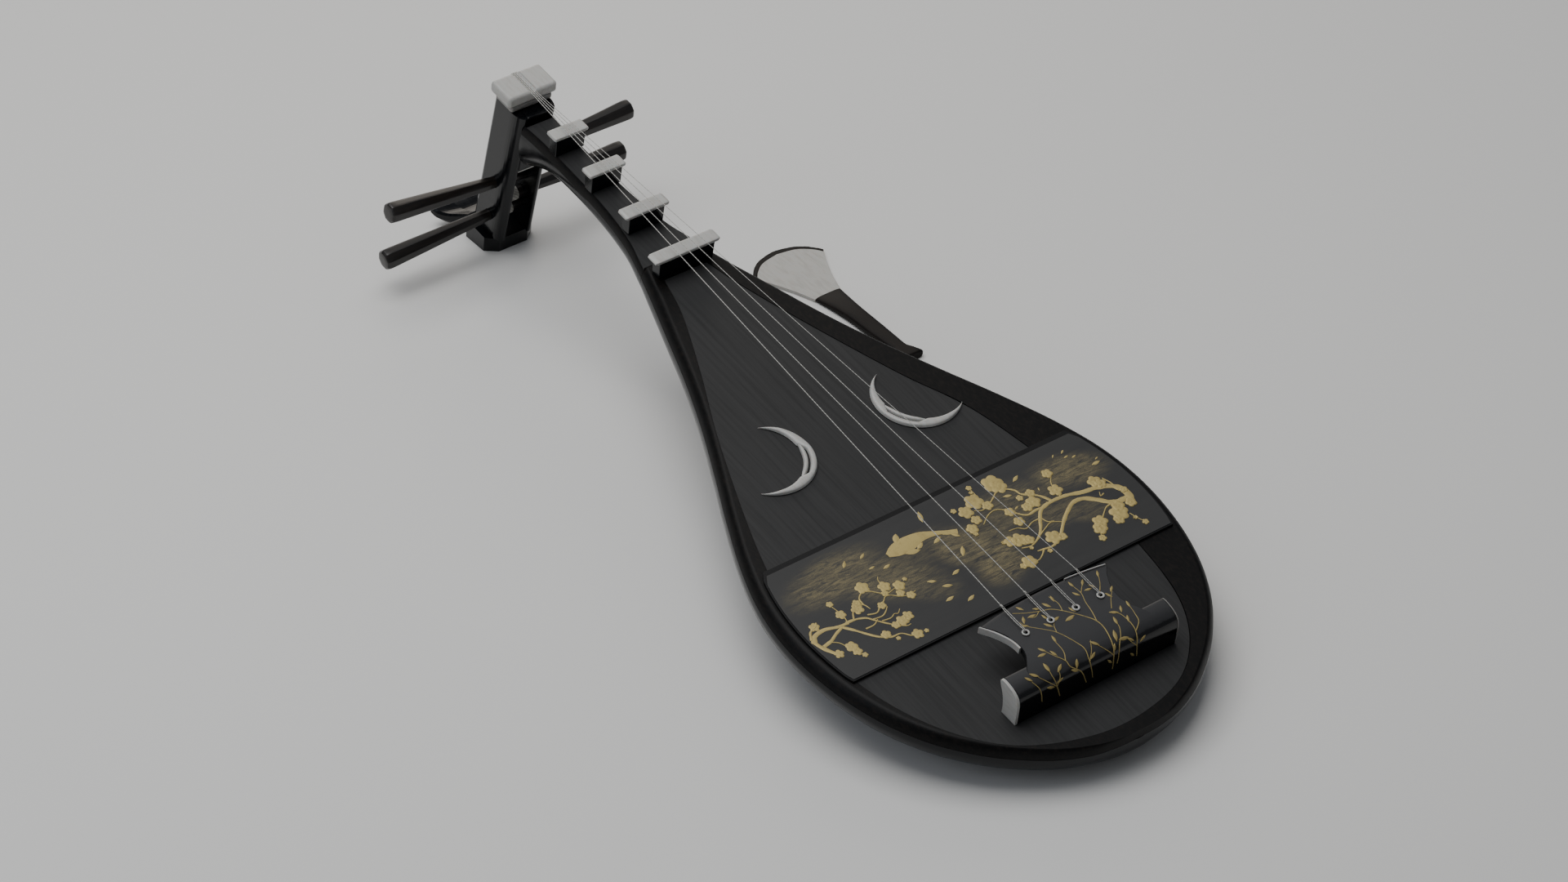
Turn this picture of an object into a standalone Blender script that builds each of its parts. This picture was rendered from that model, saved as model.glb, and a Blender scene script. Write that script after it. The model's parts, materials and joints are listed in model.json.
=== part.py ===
"""Four-string lute of the biwa family with a bent-back pegbox, lying on its back, and its plectrum.

Everything is in metres. The instrument is modelled in its own frame: the soundboard's face is the plane
z = 0, +Y runs along the strings towards the head, and y = 0 is the rear edge of the string bridge. An
empty then tilts it, because at rest it lies on its belly and on the foot of the pegbox.
"""

from math import cos, hypot, pi, radians, sin, tan

import bmesh
import bpy
from mathutils import Matrix, Vector

OBJECT_NAME = "biwa"
GAP = 0.0003  # between pieces that touch

# How it lies
TILT = radians(8.65)  # the head is raised by the foot of the pegbox
FLOOR_AT_BRIDGE = -0.0466  # the floor's height under y = 0, just above the belly's lowest tangent

# Body and neck: (y, half width, depth), read along one smooth curve
BODY = [
    (-0.0540, 0.0100, 0.0200), (-0.0530, 0.0240, 0.0235), (-0.0490, 0.0450, 0.0285),
    (-0.0370, 0.0730, 0.0355), (-0.0170, 0.1020, 0.0415), (0.0040, 0.1240, 0.0465),
    (0.0300, 0.1440, 0.0515), (0.0640, 0.1610, 0.0565), (0.1050, 0.1725, 0.0605),
    (0.1500, 0.1770, 0.0635), (0.1950, 0.1730, 0.0645), (0.2400, 0.1600, 0.0640),
    (0.2900, 0.1390, 0.0615), (0.3400, 0.1155, 0.0575), (0.3900, 0.0930, 0.0525),
    (0.4400, 0.0735, 0.0470), (0.4900, 0.0565, 0.0420), (0.5300, 0.0430, 0.0385),
    (0.5600, 0.0330, 0.0355),
]
NECK = [
    (0.5600, 0.0330, 0.0355), (0.6000, 0.0225, 0.0320), (0.6500, 0.0170, 0.0290),
    (0.7000, 0.0158, 0.0290), (0.7300, 0.0158, 0.0340), (0.7500, 0.0165, 0.0460),
    (0.7620, 0.0175, 0.0560), (0.7800, 0.0180, 0.0590),
]
EDGE_ROUND = 0.0095  # how far the top edge rounds in
EDGE_DROP = 0.015  # how far below the top the body is widest
RIM_THICKNESS = 0.009
WALL = 0.008
JOINT_Y = 0.560  # the neck joint

# Soundboard: its outline from the neck down the bass side and back up the treble side
BOARD_BASS = [
    (-0.023, 0.541), (-0.034, 0.500), (-0.060, 0.438), (-0.099, 0.353), (-0.144, 0.233),
    (-0.159, 0.150), (-0.152, 0.080), (-0.127, 0.022), (-0.086, -0.020), (-0.020, -0.042),
]
BOARD_TREBLE = [
    (0.046, -0.035), (0.087, -0.008), (0.113, 0.036), (0.123, 0.097), (0.124, 0.160),
    (0.114, 0.237), (0.101, 0.295), (0.079, 0.347), (0.050, 0.431), (0.029, 0.500), (0.020, 0.541),
]
BOARD_SINK = 0.0005  # the board lies this far below the rim

# Painted band across the lower soundboard
BAND_LOW, BAND_HIGH = 0.098, 0.226
BAND_THICKNESS = 0.0024

# Crescents: the outer arc on the treble side
CRESCENT_CENTRE = (0.0738, 0.3226)
CRESCENT_RADIUS = 0.0380
CRESCENT_START, CRESCENT_SWEEP = radians(111), radians(205.5)
CRESCENT_WIDTH = 0.0112
CRESCENT_THICKNESS = 0.0028

# Frets: (y of the middle, half width of the block, half width of the cap)
FRETS = [(0.7195, 0.0150, 0.0175), (0.6650, 0.0155, 0.0187), (0.6060, 0.0180, 0.0222), (0.5475, 0.0280, 0.0328)]
FRET_TOP = 0.0220
CAP_THICKNESS = 0.0036
CAP_LENGTH = 0.0136
BLOCK_LENGTH = 0.0112

# Nut
NUT_TOP = 0.0260
NUT_LOW = 0.0148
NUT_NEAR, NUT_FAR = 0.7720, 0.8020
NUT_HALF = 0.0250
GROOVE_HALF, GROOVE_DEPTH = 0.0034, 0.0020

# Pegbox: two cheeks that lean away from the body as they go down
LEAN = 0.153  # y gained for each metre of drop
CHEEK_TOP = 0.0075
CHEEK_LOW = -0.1520
PEGBOX_FRONT, PEGBOX_REAR = 0.7620, 0.8020  # at z = 0
CHEEK_OUT, CHEEK_IN = 0.0200, 0.0120
PANEL_LOW = -0.0600

# Pegs fan out: (name, side of its head, z of its middle, distance from there to the end of its head, rise)
PEGS = [
    ("peg_1", 1, -0.0650, 0.121, radians(2.6)), ("peg_2", -1, -0.0895, 0.131, radians(6.6)),
    ("peg_3", 1, -0.1125, 0.122, radians(-0.8)), ("peg_4", -1, -0.1285, 0.130, radians(-2.7)),
]
PEG_FAR = 0.0168  # the far end stops inside the other cheek
PEG_CLEARANCE = 0.0004

# Strings: (name, x at the bridge, x at the nut, radius), in the order of the pegs they run to
STRINGS = [
    ("string_1", 0.0370, 0.0024, 0.00034),
    ("string_2", -0.0370, -0.0024, 0.00046),
    ("string_3", 0.0125, 0.0008, 0.00038),
    ("string_4", -0.0125, -0.0008, 0.00042),
]
WINDING_RADIUS = 0.0070

# Bridge
BAR_HALF = 0.0780
BRIDGE_END = {-1: 0.0024, 1: 0.0009}  # thickness of the pale end caps, bass and treble
PLATE_LOW, PLATE_TOP = 0.0272, 0.0330
EYELET_Y = 0.0480
EYELET_HOLE = 0.0019

# Plectrum, in the frame of the floor: its middle line runs along y
PLECTRUM_X = 0.1785
BLADE_THICKNESS = 0.0032
HANDLE_THICKNESS = 0.0080


def hex_colour(code):
    channels = [int(code[i : i + 2], 16) / 255 for i in (0, 2, 4)]
    return [c / 12.92 if c < 0.04045 else ((c + 0.055) / 1.055) ** 2.4 for c in channels] + [1.0]


def material(name, code, roughness, metallic=0.0, coat=0.0):
    made = bpy.data.materials.new(name)
    made.use_nodes = True
    shader = made.node_tree.nodes["Principled BSDF"]
    shader.inputs["Base Color"].default_value = hex_colour(code)
    shader.inputs["Roughness"].default_value = roughness
    shader.inputs["Metallic"].default_value = metallic
    shader.inputs["Coat Weight"].default_value = coat
    return made


def smooth(points, steps, closed=False):
    """Points along a Catmull-Rom curve through the given ones, with this many steps in each span."""
    points = [Vector(p) for p in points]
    if closed:
        line = [points[-1], *points, points[0], points[1]]
    else:
        line = [2 * points[0] - points[1], *points, 2 * points[-1] - points[-2]]
    found = []
    for a, b, c, d in zip(line, line[1:], line[2:], line[3:]):
        for i in range(steps):
            t = i / steps
            found.append(
                0.5 * (2 * b + (c - a) * t + (2 * a - 5 * b + 4 * c - d) * t * t + (3 * b - a - 3 * c + d) * t**3)
            )
    return found if closed else [*found, points[-1]]


def value_at(stations, y, column):
    """The half width (column 1) or depth (column 2) of the body or neck at y."""
    line = smooth(stations, 6)
    for a, b in zip(line, line[1:]):
        if a[0] <= y <= b[0]:
            return a[column] + (b[column] - a[column]) * (y - a[0]) / (b[0] - a[0])
    return line[-1][column]


def finish(obj, colour, parent, bevel=0.0, segments=2, sharp=35):
    """Gives an object its place in the collection, its parent, material, bevel and shading."""
    for owner in obj.users_collection:
        owner.objects.unlink(obj)
    parts.objects.link(obj)
    obj.parent = parent
    obj.data.materials.append(colour)
    if bevel:
        rounding = obj.modifiers.new("edges", "BEVEL")
        rounding.width = bevel
        rounding.segments = segments
        rounding.limit_method = "ANGLE"
        rounding.angle_limit = radians(sharp)
    if obj.type == "MESH":
        obj.data.shade_smooth()
        obj.data.set_sharp_from_angle(angle=radians(sharp))
    return obj


def mesh_object(name, bm):
    bmesh.ops.recalc_face_normals(bm, faces=bm.faces)
    data = bpy.data.meshes.new(name)
    bm.to_mesh(data)
    bm.free()
    obj = bpy.data.objects.new(name, data)
    bpy.context.scene.collection.objects.link(obj)
    return obj


def loft(name, rings):
    """A skin over rings of points, closed by a face at each end."""
    bm = bmesh.new()
    rows = [[bm.verts.new(p) for p in ring] for ring in rings]
    for low, high in zip(rows, rows[1:]):
        for i in range(len(low)):
            j = (i + 1) % len(low)
            bm.faces.new((low[i], low[j], high[j], high[i]))
    bm.faces.new(rows[0][::-1])
    bm.faces.new(rows[-1])
    return mesh_object(name, bm)


def box(name, low, high):
    bm = bmesh.new()
    bmesh.ops.create_cube(bm, size=1.0)
    for vert in bm.verts:
        for i in range(3):
            vert.co[i] = low[i] + (vert.co[i] + 0.5) * (high[i] - low[i])
    return mesh_object(name, bm)


def plate(name, outline, low, high, along="z"):
    """A flat outline with thickness: (x, y) points extruded along z, or (y, z) points along x."""
    curve = bpy.data.curves.new(name, "CURVE")
    curve.dimensions = "2D"
    curve.fill_mode = "BOTH"
    curve.extrude = (high - low) / 2
    line = curve.splines.new("POLY")
    line.points.add(len(outline) - 1)
    for point, (a, b) in zip(line.points, outline):
        point.co = (a, b, 0, 1)
    line.use_cyclic_u = True
    flat = bpy.data.objects.new(name + "_outline", curve)
    bpy.context.scene.collection.objects.link(flat)
    bpy.context.view_layer.update()
    data = bpy.data.meshes.new_from_object(flat.evaluated_get(bpy.context.evaluated_depsgraph_get()))
    place = Matrix.Translation((0, 0, (low + high) / 2))
    if along == "x":
        place = Matrix(((0, 0, 1, 0), (1, 0, 0, 0), (0, 1, 0, 0), (0, 0, 0, 1))) @ place
    data.transform(place)
    bpy.data.objects.remove(flat)
    bm = bmesh.new()
    bm.from_mesh(data)
    bpy.data.meshes.remove(data)
    bmesh.ops.remove_doubles(bm, verts=bm.verts, dist=1e-6)
    return mesh_object(name, bm)


def rod_along_x(name, radius, low, high, y, z, sides=16):
    bm = bmesh.new()
    turn = Matrix.Rotation(pi / 2, 4, "Y")
    place = Matrix.Translation(((low + high) / 2, y, z)) @ turn
    bmesh.ops.create_cone(
        bm, cap_ends=True, segments=sides, radius1=radius, radius2=radius, depth=high - low, matrix=place
    )
    return mesh_object(name, bm)


def wire(name, points, radius, colour, parent):
    curve = bpy.data.curves.new(name, "CURVE")
    curve.dimensions = "3D"
    curve.bevel_depth = radius
    curve.bevel_resolution = 2
    curve.use_fill_caps = True
    line = curve.splines.new("POLY")
    line.points.add(len(points) - 1)
    for point, co in zip(line.points, points):
        point.co = (*co, 1)
    obj = bpy.data.objects.new(name, curve)
    return finish(obj, colour, parent)


def boolean(obj, other, operation="DIFFERENCE"):
    """Cuts or joins by another object, which becomes a hidden cutter."""
    if other.name not in cutters.objects:
        for owner in other.users_collection:
            owner.objects.unlink(other)
        cutters.objects.link(other)
        other.parent = instrument
        other.hide_render = True
        other.display_type = "WIRE"
    cut = obj.modifiers.new(other.name, "BOOLEAN")
    cut.operation = operation
    cut.object = other
    return obj


def floor_z(y):
    """The floor's height under a point of the instrument, in its own frame."""
    return FLOOR_AT_BRIDGE - tan(TILT) * y


def section(half, depth, y, quarter=6, corner=3):
    """Half an ellipse under a flat top whose edges round over, as a ring of points at y."""
    rounded = min(EDGE_ROUND, 0.22 * half)
    drop = min(EDGE_DROP, 0.4 * depth)
    side = []
    for i in range(corner + 1):
        turn = pi / 2 * i / corner
        side.append((half - rounded * (1 - sin(turn)), -drop * (1 - cos(turn))))
    for i in range(1, quarter + 1):
        turn = pi / 2 * i / quarter
        side.append((half * cos(turn), -drop - (depth - drop) * sin(turn)))
    other = [(-x, z) for x, z in side[-2::-1]]
    return [(x, y, z) for x, z in side + other]


def hull(name, stations, steps=2):
    return loft(name, [section(half, depth, y) for y, half, depth in smooth(stations, steps)])


def board_outline(grow=0.0):
    """The soundboard's edge, moved outwards by this much."""
    edge = smooth(BOARD_BASS + BOARD_TREBLE, 3)
    found = []
    for i, point in enumerate(edge):
        before = edge[max(i - 1, 0)]
        after = edge[min(i + 1, len(edge) - 1)]
        run = (after - before).normalized()
        found.append((point.x + run.y * grow, point.y - run.x * grow))
    head = BOARD_BASS[0][1] + grow
    found[0] = (found[0][0], head)
    found[-1] = (found[-1][0], head)
    return found


def make_body():
    shell = hull("back_shell", BODY)
    inner = []
    for y, half, depth in smooth(BODY, 2):
        if -0.044 < y < 0.505:
            ring = section(max(half - WALL, 0.006), depth - WALL * 0.9, y)
            inner.append([(x, yy, z if z < -EDGE_DROP else z + 0.004) for x, yy, z in ring])
    cavity = loft("cavity", inner)
    boolean(shell, cavity)
    top = box("above_shell", (-0.3, -0.2, -RIM_THICKNESS - GAP), (0.3, 0.9, 0.05))
    boolean(shell, top)
    under = loft("below_floor", [
        [(x, y, floor_z(y)), (x, y, floor_z(y) - 0.05), (x, y + 1.2, floor_z(y + 1.2) - 0.05), (x, y + 1.2, floor_z(y + 1.2))]
        for x, y in ((-0.3, -0.2), (0.3, -0.2))
    ])
    boolean(shell, under)
    finish(shell, LACQUER, instrument)

    rim = hull("rim", BODY)
    below = box("below_rim", (-0.3, -0.2, -0.1), (0.3, 0.9, -RIM_THICKNESS))
    boolean(rim, below)
    boolean(rim, plate("board_pocket", board_outline(GAP), -0.02, 0.02))
    finish(rim, EDGE_WOOD, instrument)

    board = plate("soundboard", board_outline(), -RIM_THICKNESS, -BOARD_SINK)
    finish(board, BOARD_WOOD, instrument)
    for name, y, half in (("sound_bar_upper", 0.330, 0.086), ("sound_bar_lower", 0.060, 0.118)):
        top = -RIM_THICKNESS - GAP
        bar = box(name, (-half, y - 0.007, top - 0.016), (half, y + 0.007, top))
        finish(bar, PLAIN_WOOD, instrument, bevel=0.002)
    return under


def make_band():
    """A thin plate across the whole board, its ends following the body's outline."""
    edge = []
    steps = 8
    for i in range(steps + 1):
        y = BAND_LOW + (BAND_HIGH - BAND_LOW) * i / steps
        edge.append((value_at(BODY, y, 1) - EDGE_ROUND + 0.0008, y))
    outline = edge + [(-x, y) for x, y in edge[::-1]]
    band = plate("painted_band", outline, GAP, GAP + BAND_THICKNESS)
    finish(band, BAND_WOOD, instrument)


def crescent_outline(side):
    """An arc from tip to tip and the same arc back, drawn in by a width that is fullest half-way."""
    cx, cy = CRESCENT_CENTRE
    steps = 20
    outer, inner = [], []
    for i in range(steps + 1):
        turn = CRESCENT_START + CRESCENT_SWEEP * i / steps
        reach = CRESCENT_RADIUS - CRESCENT_WIDTH * sin(pi * i / steps)
        outer.append((side * (cx + CRESCENT_RADIUS * cos(turn)), cy + CRESCENT_RADIUS * sin(turn)))
        inner.append((side * (cx + reach * cos(turn)), cy + reach * sin(turn)))
    return outer + inner[-2:0:-1]


def make_crescents():
    for name, side in (("crescent_bass", -1), ("crescent_treble", 1)):
        obj = plate(name, crescent_outline(side), GAP, GAP + CRESCENT_THICKNESS)
        finish(obj, IVORY, instrument, bevel=0.0008, segments=1)


def make_neck():
    neck = hull("neck", [(JOINT_Y + GAP, *NECK[0][1:]), *NECK[1:]])
    reach = 0.2
    front = [(PEGBOX_FRONT - GAP - LEAN * z, z) for z in (0.05, -0.15)]
    past = plate("pegbox_side", [*front, (front[1][0] + reach, -0.15), (front[0][0] + reach, 0.05)], -0.1, 0.1, "x")
    boolean(neck, past)
    facing = []
    for i in range(9):
        y = 0.5610 + (0.7600 - 0.5610) * i / 8
        facing.append((value_at(NECK, y, 1) - 0.0032, y))
    outline = facing + [(-x, y) for x, y in facing[::-1]]
    pocket = [(x + GAP, y) for x, y in facing]
    pocket = [(pocket[0][0], facing[0][1] - GAP), *pocket, (pocket[-1][0], facing[-1][1] + 0.02)]
    pocket += [(-x, y) for x, y in pocket[::-1]]
    boolean(neck, plate("facing_pocket", pocket, -0.0030 - GAP, 0.01))
    finish(neck, LACQUER, instrument)
    finish(plate("neck_facing", outline, -0.0030, -0.0002), BOARD_WOOD, instrument)


def make_frets():
    for number, (y, block_half, cap_half) in enumerate(FRETS, 1):
        low = FRET_TOP - CAP_THICKNESS
        block = box(
            f"fret_{number}_block", (-block_half, y - BLOCK_LENGTH / 2, GAP), (block_half, y + BLOCK_LENGTH / 2, low - GAP)
        )
        finish(block, LACQUER, instrument, bevel=0.0006, segments=1)
        cap = box(f"fret_{number}_cap", (-cap_half, y - CAP_LENGTH / 2, low), (cap_half, y + CAP_LENGTH / 2, FRET_TOP))
        finish(cap, IVORY, instrument, bevel=0.0010)


def make_nut():
    block = box("nut_block", (-NUT_HALF, NUT_NEAR, NUT_LOW), (NUT_HALF, NUT_FAR, NUT_TOP))
    finish(block, IVORY, instrument, bevel=0.0028, segments=3)
    floor = NUT_TOP - GROOVE_DEPTH
    groove = box("string_groove", (-GROOVE_HALF, NUT_NEAR - 0.01, floor), (GROOVE_HALF, NUT_FAR + 0.01, NUT_TOP + 0.01))
    boolean(block, groove)
    lip = box("nut_lip", (-0.0212, 0.7735, CHEEK_TOP + GAP), (0.0212, 0.7990, NUT_LOW - GAP))
    finish(lip, HORN, instrument, bevel=0.0018)


def make_pegbox(under):
    def rear(z):
        return PEGBOX_REAR - LEAN * z

    def front(z):
        return PEGBOX_FRONT - LEAN * z

    for name, side in (("pegbox_cheek_bass", -1), ("pegbox_cheek_treble", 1)):
        rings = [[(side * x, front(z) + y, z) for x, y in cheek_outline()] for z in (CHEEK_LOW, CHEEK_TOP)]
        cheek = loft(name, rings)
        finish(cheek, LACQUER, instrument, sharp=30)
        for peg, head_side, z, _, rise in PEGS:
            end = 0.026 if head_side == side else -PEG_FAR - GAP
            low, high = sorted((head_side * end, head_side * (0.006 if head_side == side else -0.006)))
            radius = peg_radius(side * (CHEEK_IN + CHEEK_OUT) / 2, head_side) + PEG_CLEARANCE
            hole = rod_along_x(f"{name}_{peg}_hole", radius, low, high, 0, 0)
            hole.data.transform(peg_place(head_side, z, rise))
            boolean(cheek, hole)

    inside = CHEEK_IN - GAP
    head = plate("pegbox_head_block", [
        (front(CHEEK_TOP) + 0.001, CHEEK_TOP), (0.8005, CHEEK_TOP), (0.8005, -0.020), (front(-0.020) + 0.001, -0.020),
    ], -inside, inside, "x")
    finish(head, LACQUER, instrument, bevel=0.0012)
    top, low = -0.020 - GAP, PANEL_LOW
    panel = plate("pegbox_front_panel", [
        (front(top), top), (front(top) + 0.006, top), (front(low) + 0.006, low), (front(low), low),
    ], -inside, inside, "x")
    finish(panel, LACQUER, instrument, bevel=0.0008, segments=1)
    top, low = PANEL_LOW - GAP, PANEL_LOW - 0.0016
    trim = plate("pegbox_panel_trim", [
        (front(top), top), (front(top) + 0.006, top), (front(low) + 0.006, low), (front(low), low),
    ], -inside, inside, "x")
    finish(trim, IVORY, instrument)

    y0 = front(CHEEK_LOW) + 0.004
    y1 = rear(CHEEK_LOW) + 0.007
    footprint = [
        (-0.015, y0), (0.015, y0), (0.0255, y0 + 0.009), (0.0255, y1 - 0.006),
        (0.019, y1), (-0.019, y1), (-0.0255, y1 - 0.006), (-0.0255, y0 + 0.009),
    ]
    foot = plate("pegbox_foot", footprint, -0.19, CHEEK_LOW - GAP)
    boolean(foot, under)
    finish(foot, LACQUER, instrument)

    tail_stations = [
        (y1 + GAP, 0.0180, -0.1670, -0.1545), (y1 + 0.008, 0.0245, -0.1700, -0.1575),
        (y1 + 0.016, 0.0325, -0.1705, -0.1595), (y1 + 0.023, 0.0385, -0.1690, -0.1590),
        (y1 + 0.029, 0.0410, -0.1655, -0.1575),
    ]
    rings = []
    for y, half, low, high in smooth(tail_stations, 3):
        height = high - low
        ring = [(-half, y, high - 0.2 * height), (-half, y, low + 0.3 * height), (-half * 0.92, y, low)]
        ring += [(half * 0.92, y, low), (half, y, low + 0.3 * height), (half, y, high - 0.2 * height)]
        ring += [(half * 0.94, y, high), (half * 0.45, y, high - 0.18 * height)]
        ring += [(-half * 0.45, y, high - 0.18 * height), (-half * 0.94, y, high)]
        rings.append(ring)
    finish(loft("pegbox_tail", rings), LACQUER, instrument, sharp=50)


def cheek_outline():
    """One cheek from above, from its front: the outer front corner is the quarter of an ellipse."""
    depth = PEGBOX_REAR - PEGBOX_FRONT
    wide, deep, steps = 0.0068, 0.0150, 8
    found = [(CHEEK_IN, 0.0008), (CHEEK_IN + 0.0006, 0.0)]
    for i in range(steps + 1):
        turn = pi / 2 * i / steps
        found.append((CHEEK_OUT - wide * (1 - sin(turn)), deep * (1 - cos(turn))))
    found += [(CHEEK_OUT, depth - 0.003), (CHEEK_OUT - 0.0009, depth - 0.0009), (CHEEK_OUT - 0.003, depth)]
    return [*found, (CHEEK_IN, depth)]


def peg_place(side, z, rise):
    """Where a peg's middle is, and how its axis lies: its head rises by this angle on its own side."""
    y = (PEGBOX_FRONT + PEGBOX_REAR) / 2 - LEAN * z
    return Matrix.Translation((0, y, z)) @ Matrix.Rotation(-side * rise, 4, "Y")


def peg_radius(x, side):
    """The turned part of a peg thins towards its far end."""
    return 0.0052 - 0.0008 * (CHEEK_OUT - side * x) / (2 * CHEEK_OUT)


def octagon(x, radius, flat):
    """Sixteen points round the x axis, from a circle (flat 0) to an octagon (flat 1)."""
    found = []
    for i in range(16):
        turn = 2 * pi * i / 16
        reach = radius * (1 if i % 2 == 0 else 1 - flat * (1 - cos(pi / 8)))
        found.append((x, reach * cos(turn + pi / 8), reach * sin(turn + pi / 8)))
    return found


def make_pegs():
    for number, (name, side, z, reach, rise) in enumerate(PEGS, 1):
        pivot = bpy.data.objects.new(f"{name}_axis", None)
        parts.objects.link(pivot)
        pivot.parent = instrument
        pivot.matrix_local = peg_place(side, z, rise)
        far = -PEG_FAR + GAP
        shape = [
            (far, 0.0038, 0), (far + 0.0006, peg_radius(far * side, side), 0), (CHEEK_OUT + 0.001, 0.0052, 0),
            (0.0225, 0.0056, 0.3), (0.0260, 0.0060, 1), (0.0300, 0.0063, 1), (0.0700, 0.0078, 1),
            (reach - 0.007, 0.0098, 1), (reach - 0.0016, 0.0096, 1), (reach, 0.0074, 1),
        ]
        peg = loft(name, [octagon(side * x, radius, flat) for x, radius, flat in shape])
        finish(peg, PEG_WOOD, pivot, sharp=25)

        x = STRINGS[number - 1][2] * 2.2
        bore = 0.0054 + GAP / 2
        half = 0.0046
        profile = [(half, bore), (half, 0.0066), (0.6 * half, WINDING_RADIUS), (-0.6 * half, WINDING_RADIUS)]
        profile += [(-half, 0.0066), (-half, bore)]
        rings = []
        for i in range(16):
            turn = 2 * pi * i / 16
            rings.append([(x + a, r * cos(turn), r * sin(turn)) for a, r in profile])
        bm = bmesh.new()
        rows = [[bm.verts.new(p) for p in ring] for ring in rings]
        for i, row in enumerate(rows):
            after = rows[(i + 1) % len(rows)]
            for j in range(len(row)):
                k = (j + 1) % len(row)
                bm.faces.new((row[j], row[k], after[k], after[j]))
        finish(mesh_object(f"winding_{number}", bm), SILK, pivot)


def make_strings():
    top = PLATE_TOP + 0.0018
    groove = NUT_TOP - GROOVE_DEPTH
    for number, (name, x, nut_x, radius) in enumerate(STRINGS):
        _, side, z, _, rise = PEGS[number]
        lift = radius + GAP
        wound_x = nut_x * 2.2
        _, y, z = peg_place(side, z, rise) @ Vector((wound_x, 0, 0))
        back = NUT_FAR + lift + 0.0004
        points = [
            (x, EYELET_Y, PLATE_TOP - 0.004), (x, EYELET_Y, top - 0.0008), (x, EYELET_Y + 0.0008, top + lift - 0.0003),
            (x, EYELET_Y + 0.0035, top + lift), (x, front_edge(x) - 0.001, top + lift - 0.0004),
            (nut_x, NUT_NEAR - 0.0002, groove + lift), (nut_x, NUT_FAR - 0.0012, groove + lift),
            (nut_x, NUT_FAR + 0.0003, groove + lift - 0.0001), (nut_x, back, groove - 0.0006),
            (nut_x, back + 0.0002, groove - 0.0030), (nut_x * 1.2, back + 0.0030, -0.010),
            (wound_x, y + WINDING_RADIUS + lift, z + 0.004), (wound_x, y + WINDING_RADIUS + lift, z - 0.002),
        ]
        wire(name, points, radius, SILK, instrument)


def front_edge(x):
    """The bowed front edge of the bridge plate."""
    return 0.0765 - 0.0055 * (x / 0.063) ** 2


def make_bridge():
    section_points = [
        (0.0000, GAP), (0.0000, 0.0205), (0.0035, 0.0275), (0.0100, 0.0305), (0.0180, 0.0318),
        (0.0230, 0.0312), (0.0225, 0.0272), (0.0180, 0.0190), (0.0165, 0.0110), (0.0160, GAP),
    ]
    lifted = [(y, z - BOARD_SINK) for y, z in section_points]
    bar = plate("bridge", lifted, -BAR_HALF, BAR_HALF, "x")
    half = [
        (0.0620, 0.0150), (0.0560, 0.0225), (0.0515, 0.0290), (0.0490, 0.0380),
        (0.0500, 0.0480), (0.0550, 0.0600), (0.0625, 0.0712),
    ]
    half = [(p.x, p.y) for p in smooth(half, 2)]
    steps = 6
    front = [(0.0625 * (1 - i / steps), front_edge(0.0625 * (1 - i / steps))) for i in range(1, steps)]
    outline = half + front + [(0.0, front_edge(0))] + [(-x, y) for x, y in (half + front)[::-1]]
    top = plate("bridge_plate", outline, PLATE_LOW, PLATE_TOP)
    boolean(bar, top, "UNION")
    for name, x, _, _ in STRINGS:
        bm = bmesh.new()
        place = Matrix.Translation((x, EYELET_Y, PLATE_TOP))
        bmesh.ops.create_cone(
            bm, cap_ends=True, segments=16, radius1=EYELET_HOLE, radius2=EYELET_HOLE, depth=0.03, matrix=place
        )
        boolean(bar, mesh_object(f"{name}_hole", bm))
    finish(bar, LACQUER, instrument, sharp=30)

    for name, side in (("bridge_end_bass", -1), ("bridge_end_treble", 1)):
        low, high = sorted((side * (BAR_HALF + GAP), side * (BAR_HALF + GAP + BRIDGE_END[side])))
        finish(plate(name, lifted, low, high, "x"), IVORY, instrument, bevel=0.0003, segments=1)
    trim = 0.0018
    waist = half[4:]
    strip = [(-x - GAP, y) for x, y in waist] + [(-x - GAP - trim, y) for x, y in waist[::-1]]
    finish(plate("bridge_edge_bass", strip, PLATE_LOW, PLATE_TOP + 0.0004), IVORY, instrument)
    lip = [(x, front_edge(x) + GAP) for x in (0.024, 0.034, 0.044, 0.054, 0.0615)]
    lip += [(x, y + 0.0012) for x, y in lip[::-1]]
    finish(plate("bridge_lip", lip, PLATE_TOP - 0.003, PLATE_TOP + 0.0010), IVORY, instrument)

    for number, (_, x, _, _) in enumerate(STRINGS, 1):
        bm = bmesh.new()
        profile = [(0.0019, 0.0000), (0.0033, 0.0000), (0.0033, 0.0007), (0.0027, 0.0012), (0.0022, 0.0010)]
        rows = []
        for i in range(16):
            turn = 2 * pi * i / 16
            rows.append([
                bm.verts.new((x + r * cos(turn), EYELET_Y + r * sin(turn), PLATE_TOP + GAP + z)) for r, z in profile
            ])
        for i, row in enumerate(rows):
            after = rows[(i + 1) % len(rows)]
            for j in range(len(row)):
                k = (j + 1) % len(row)
                bm.faces.new((row[j], row[k], after[k], after[j]))
        finish(mesh_object(f"eyelet_{number}", bm), IVORY, instrument)


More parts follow.
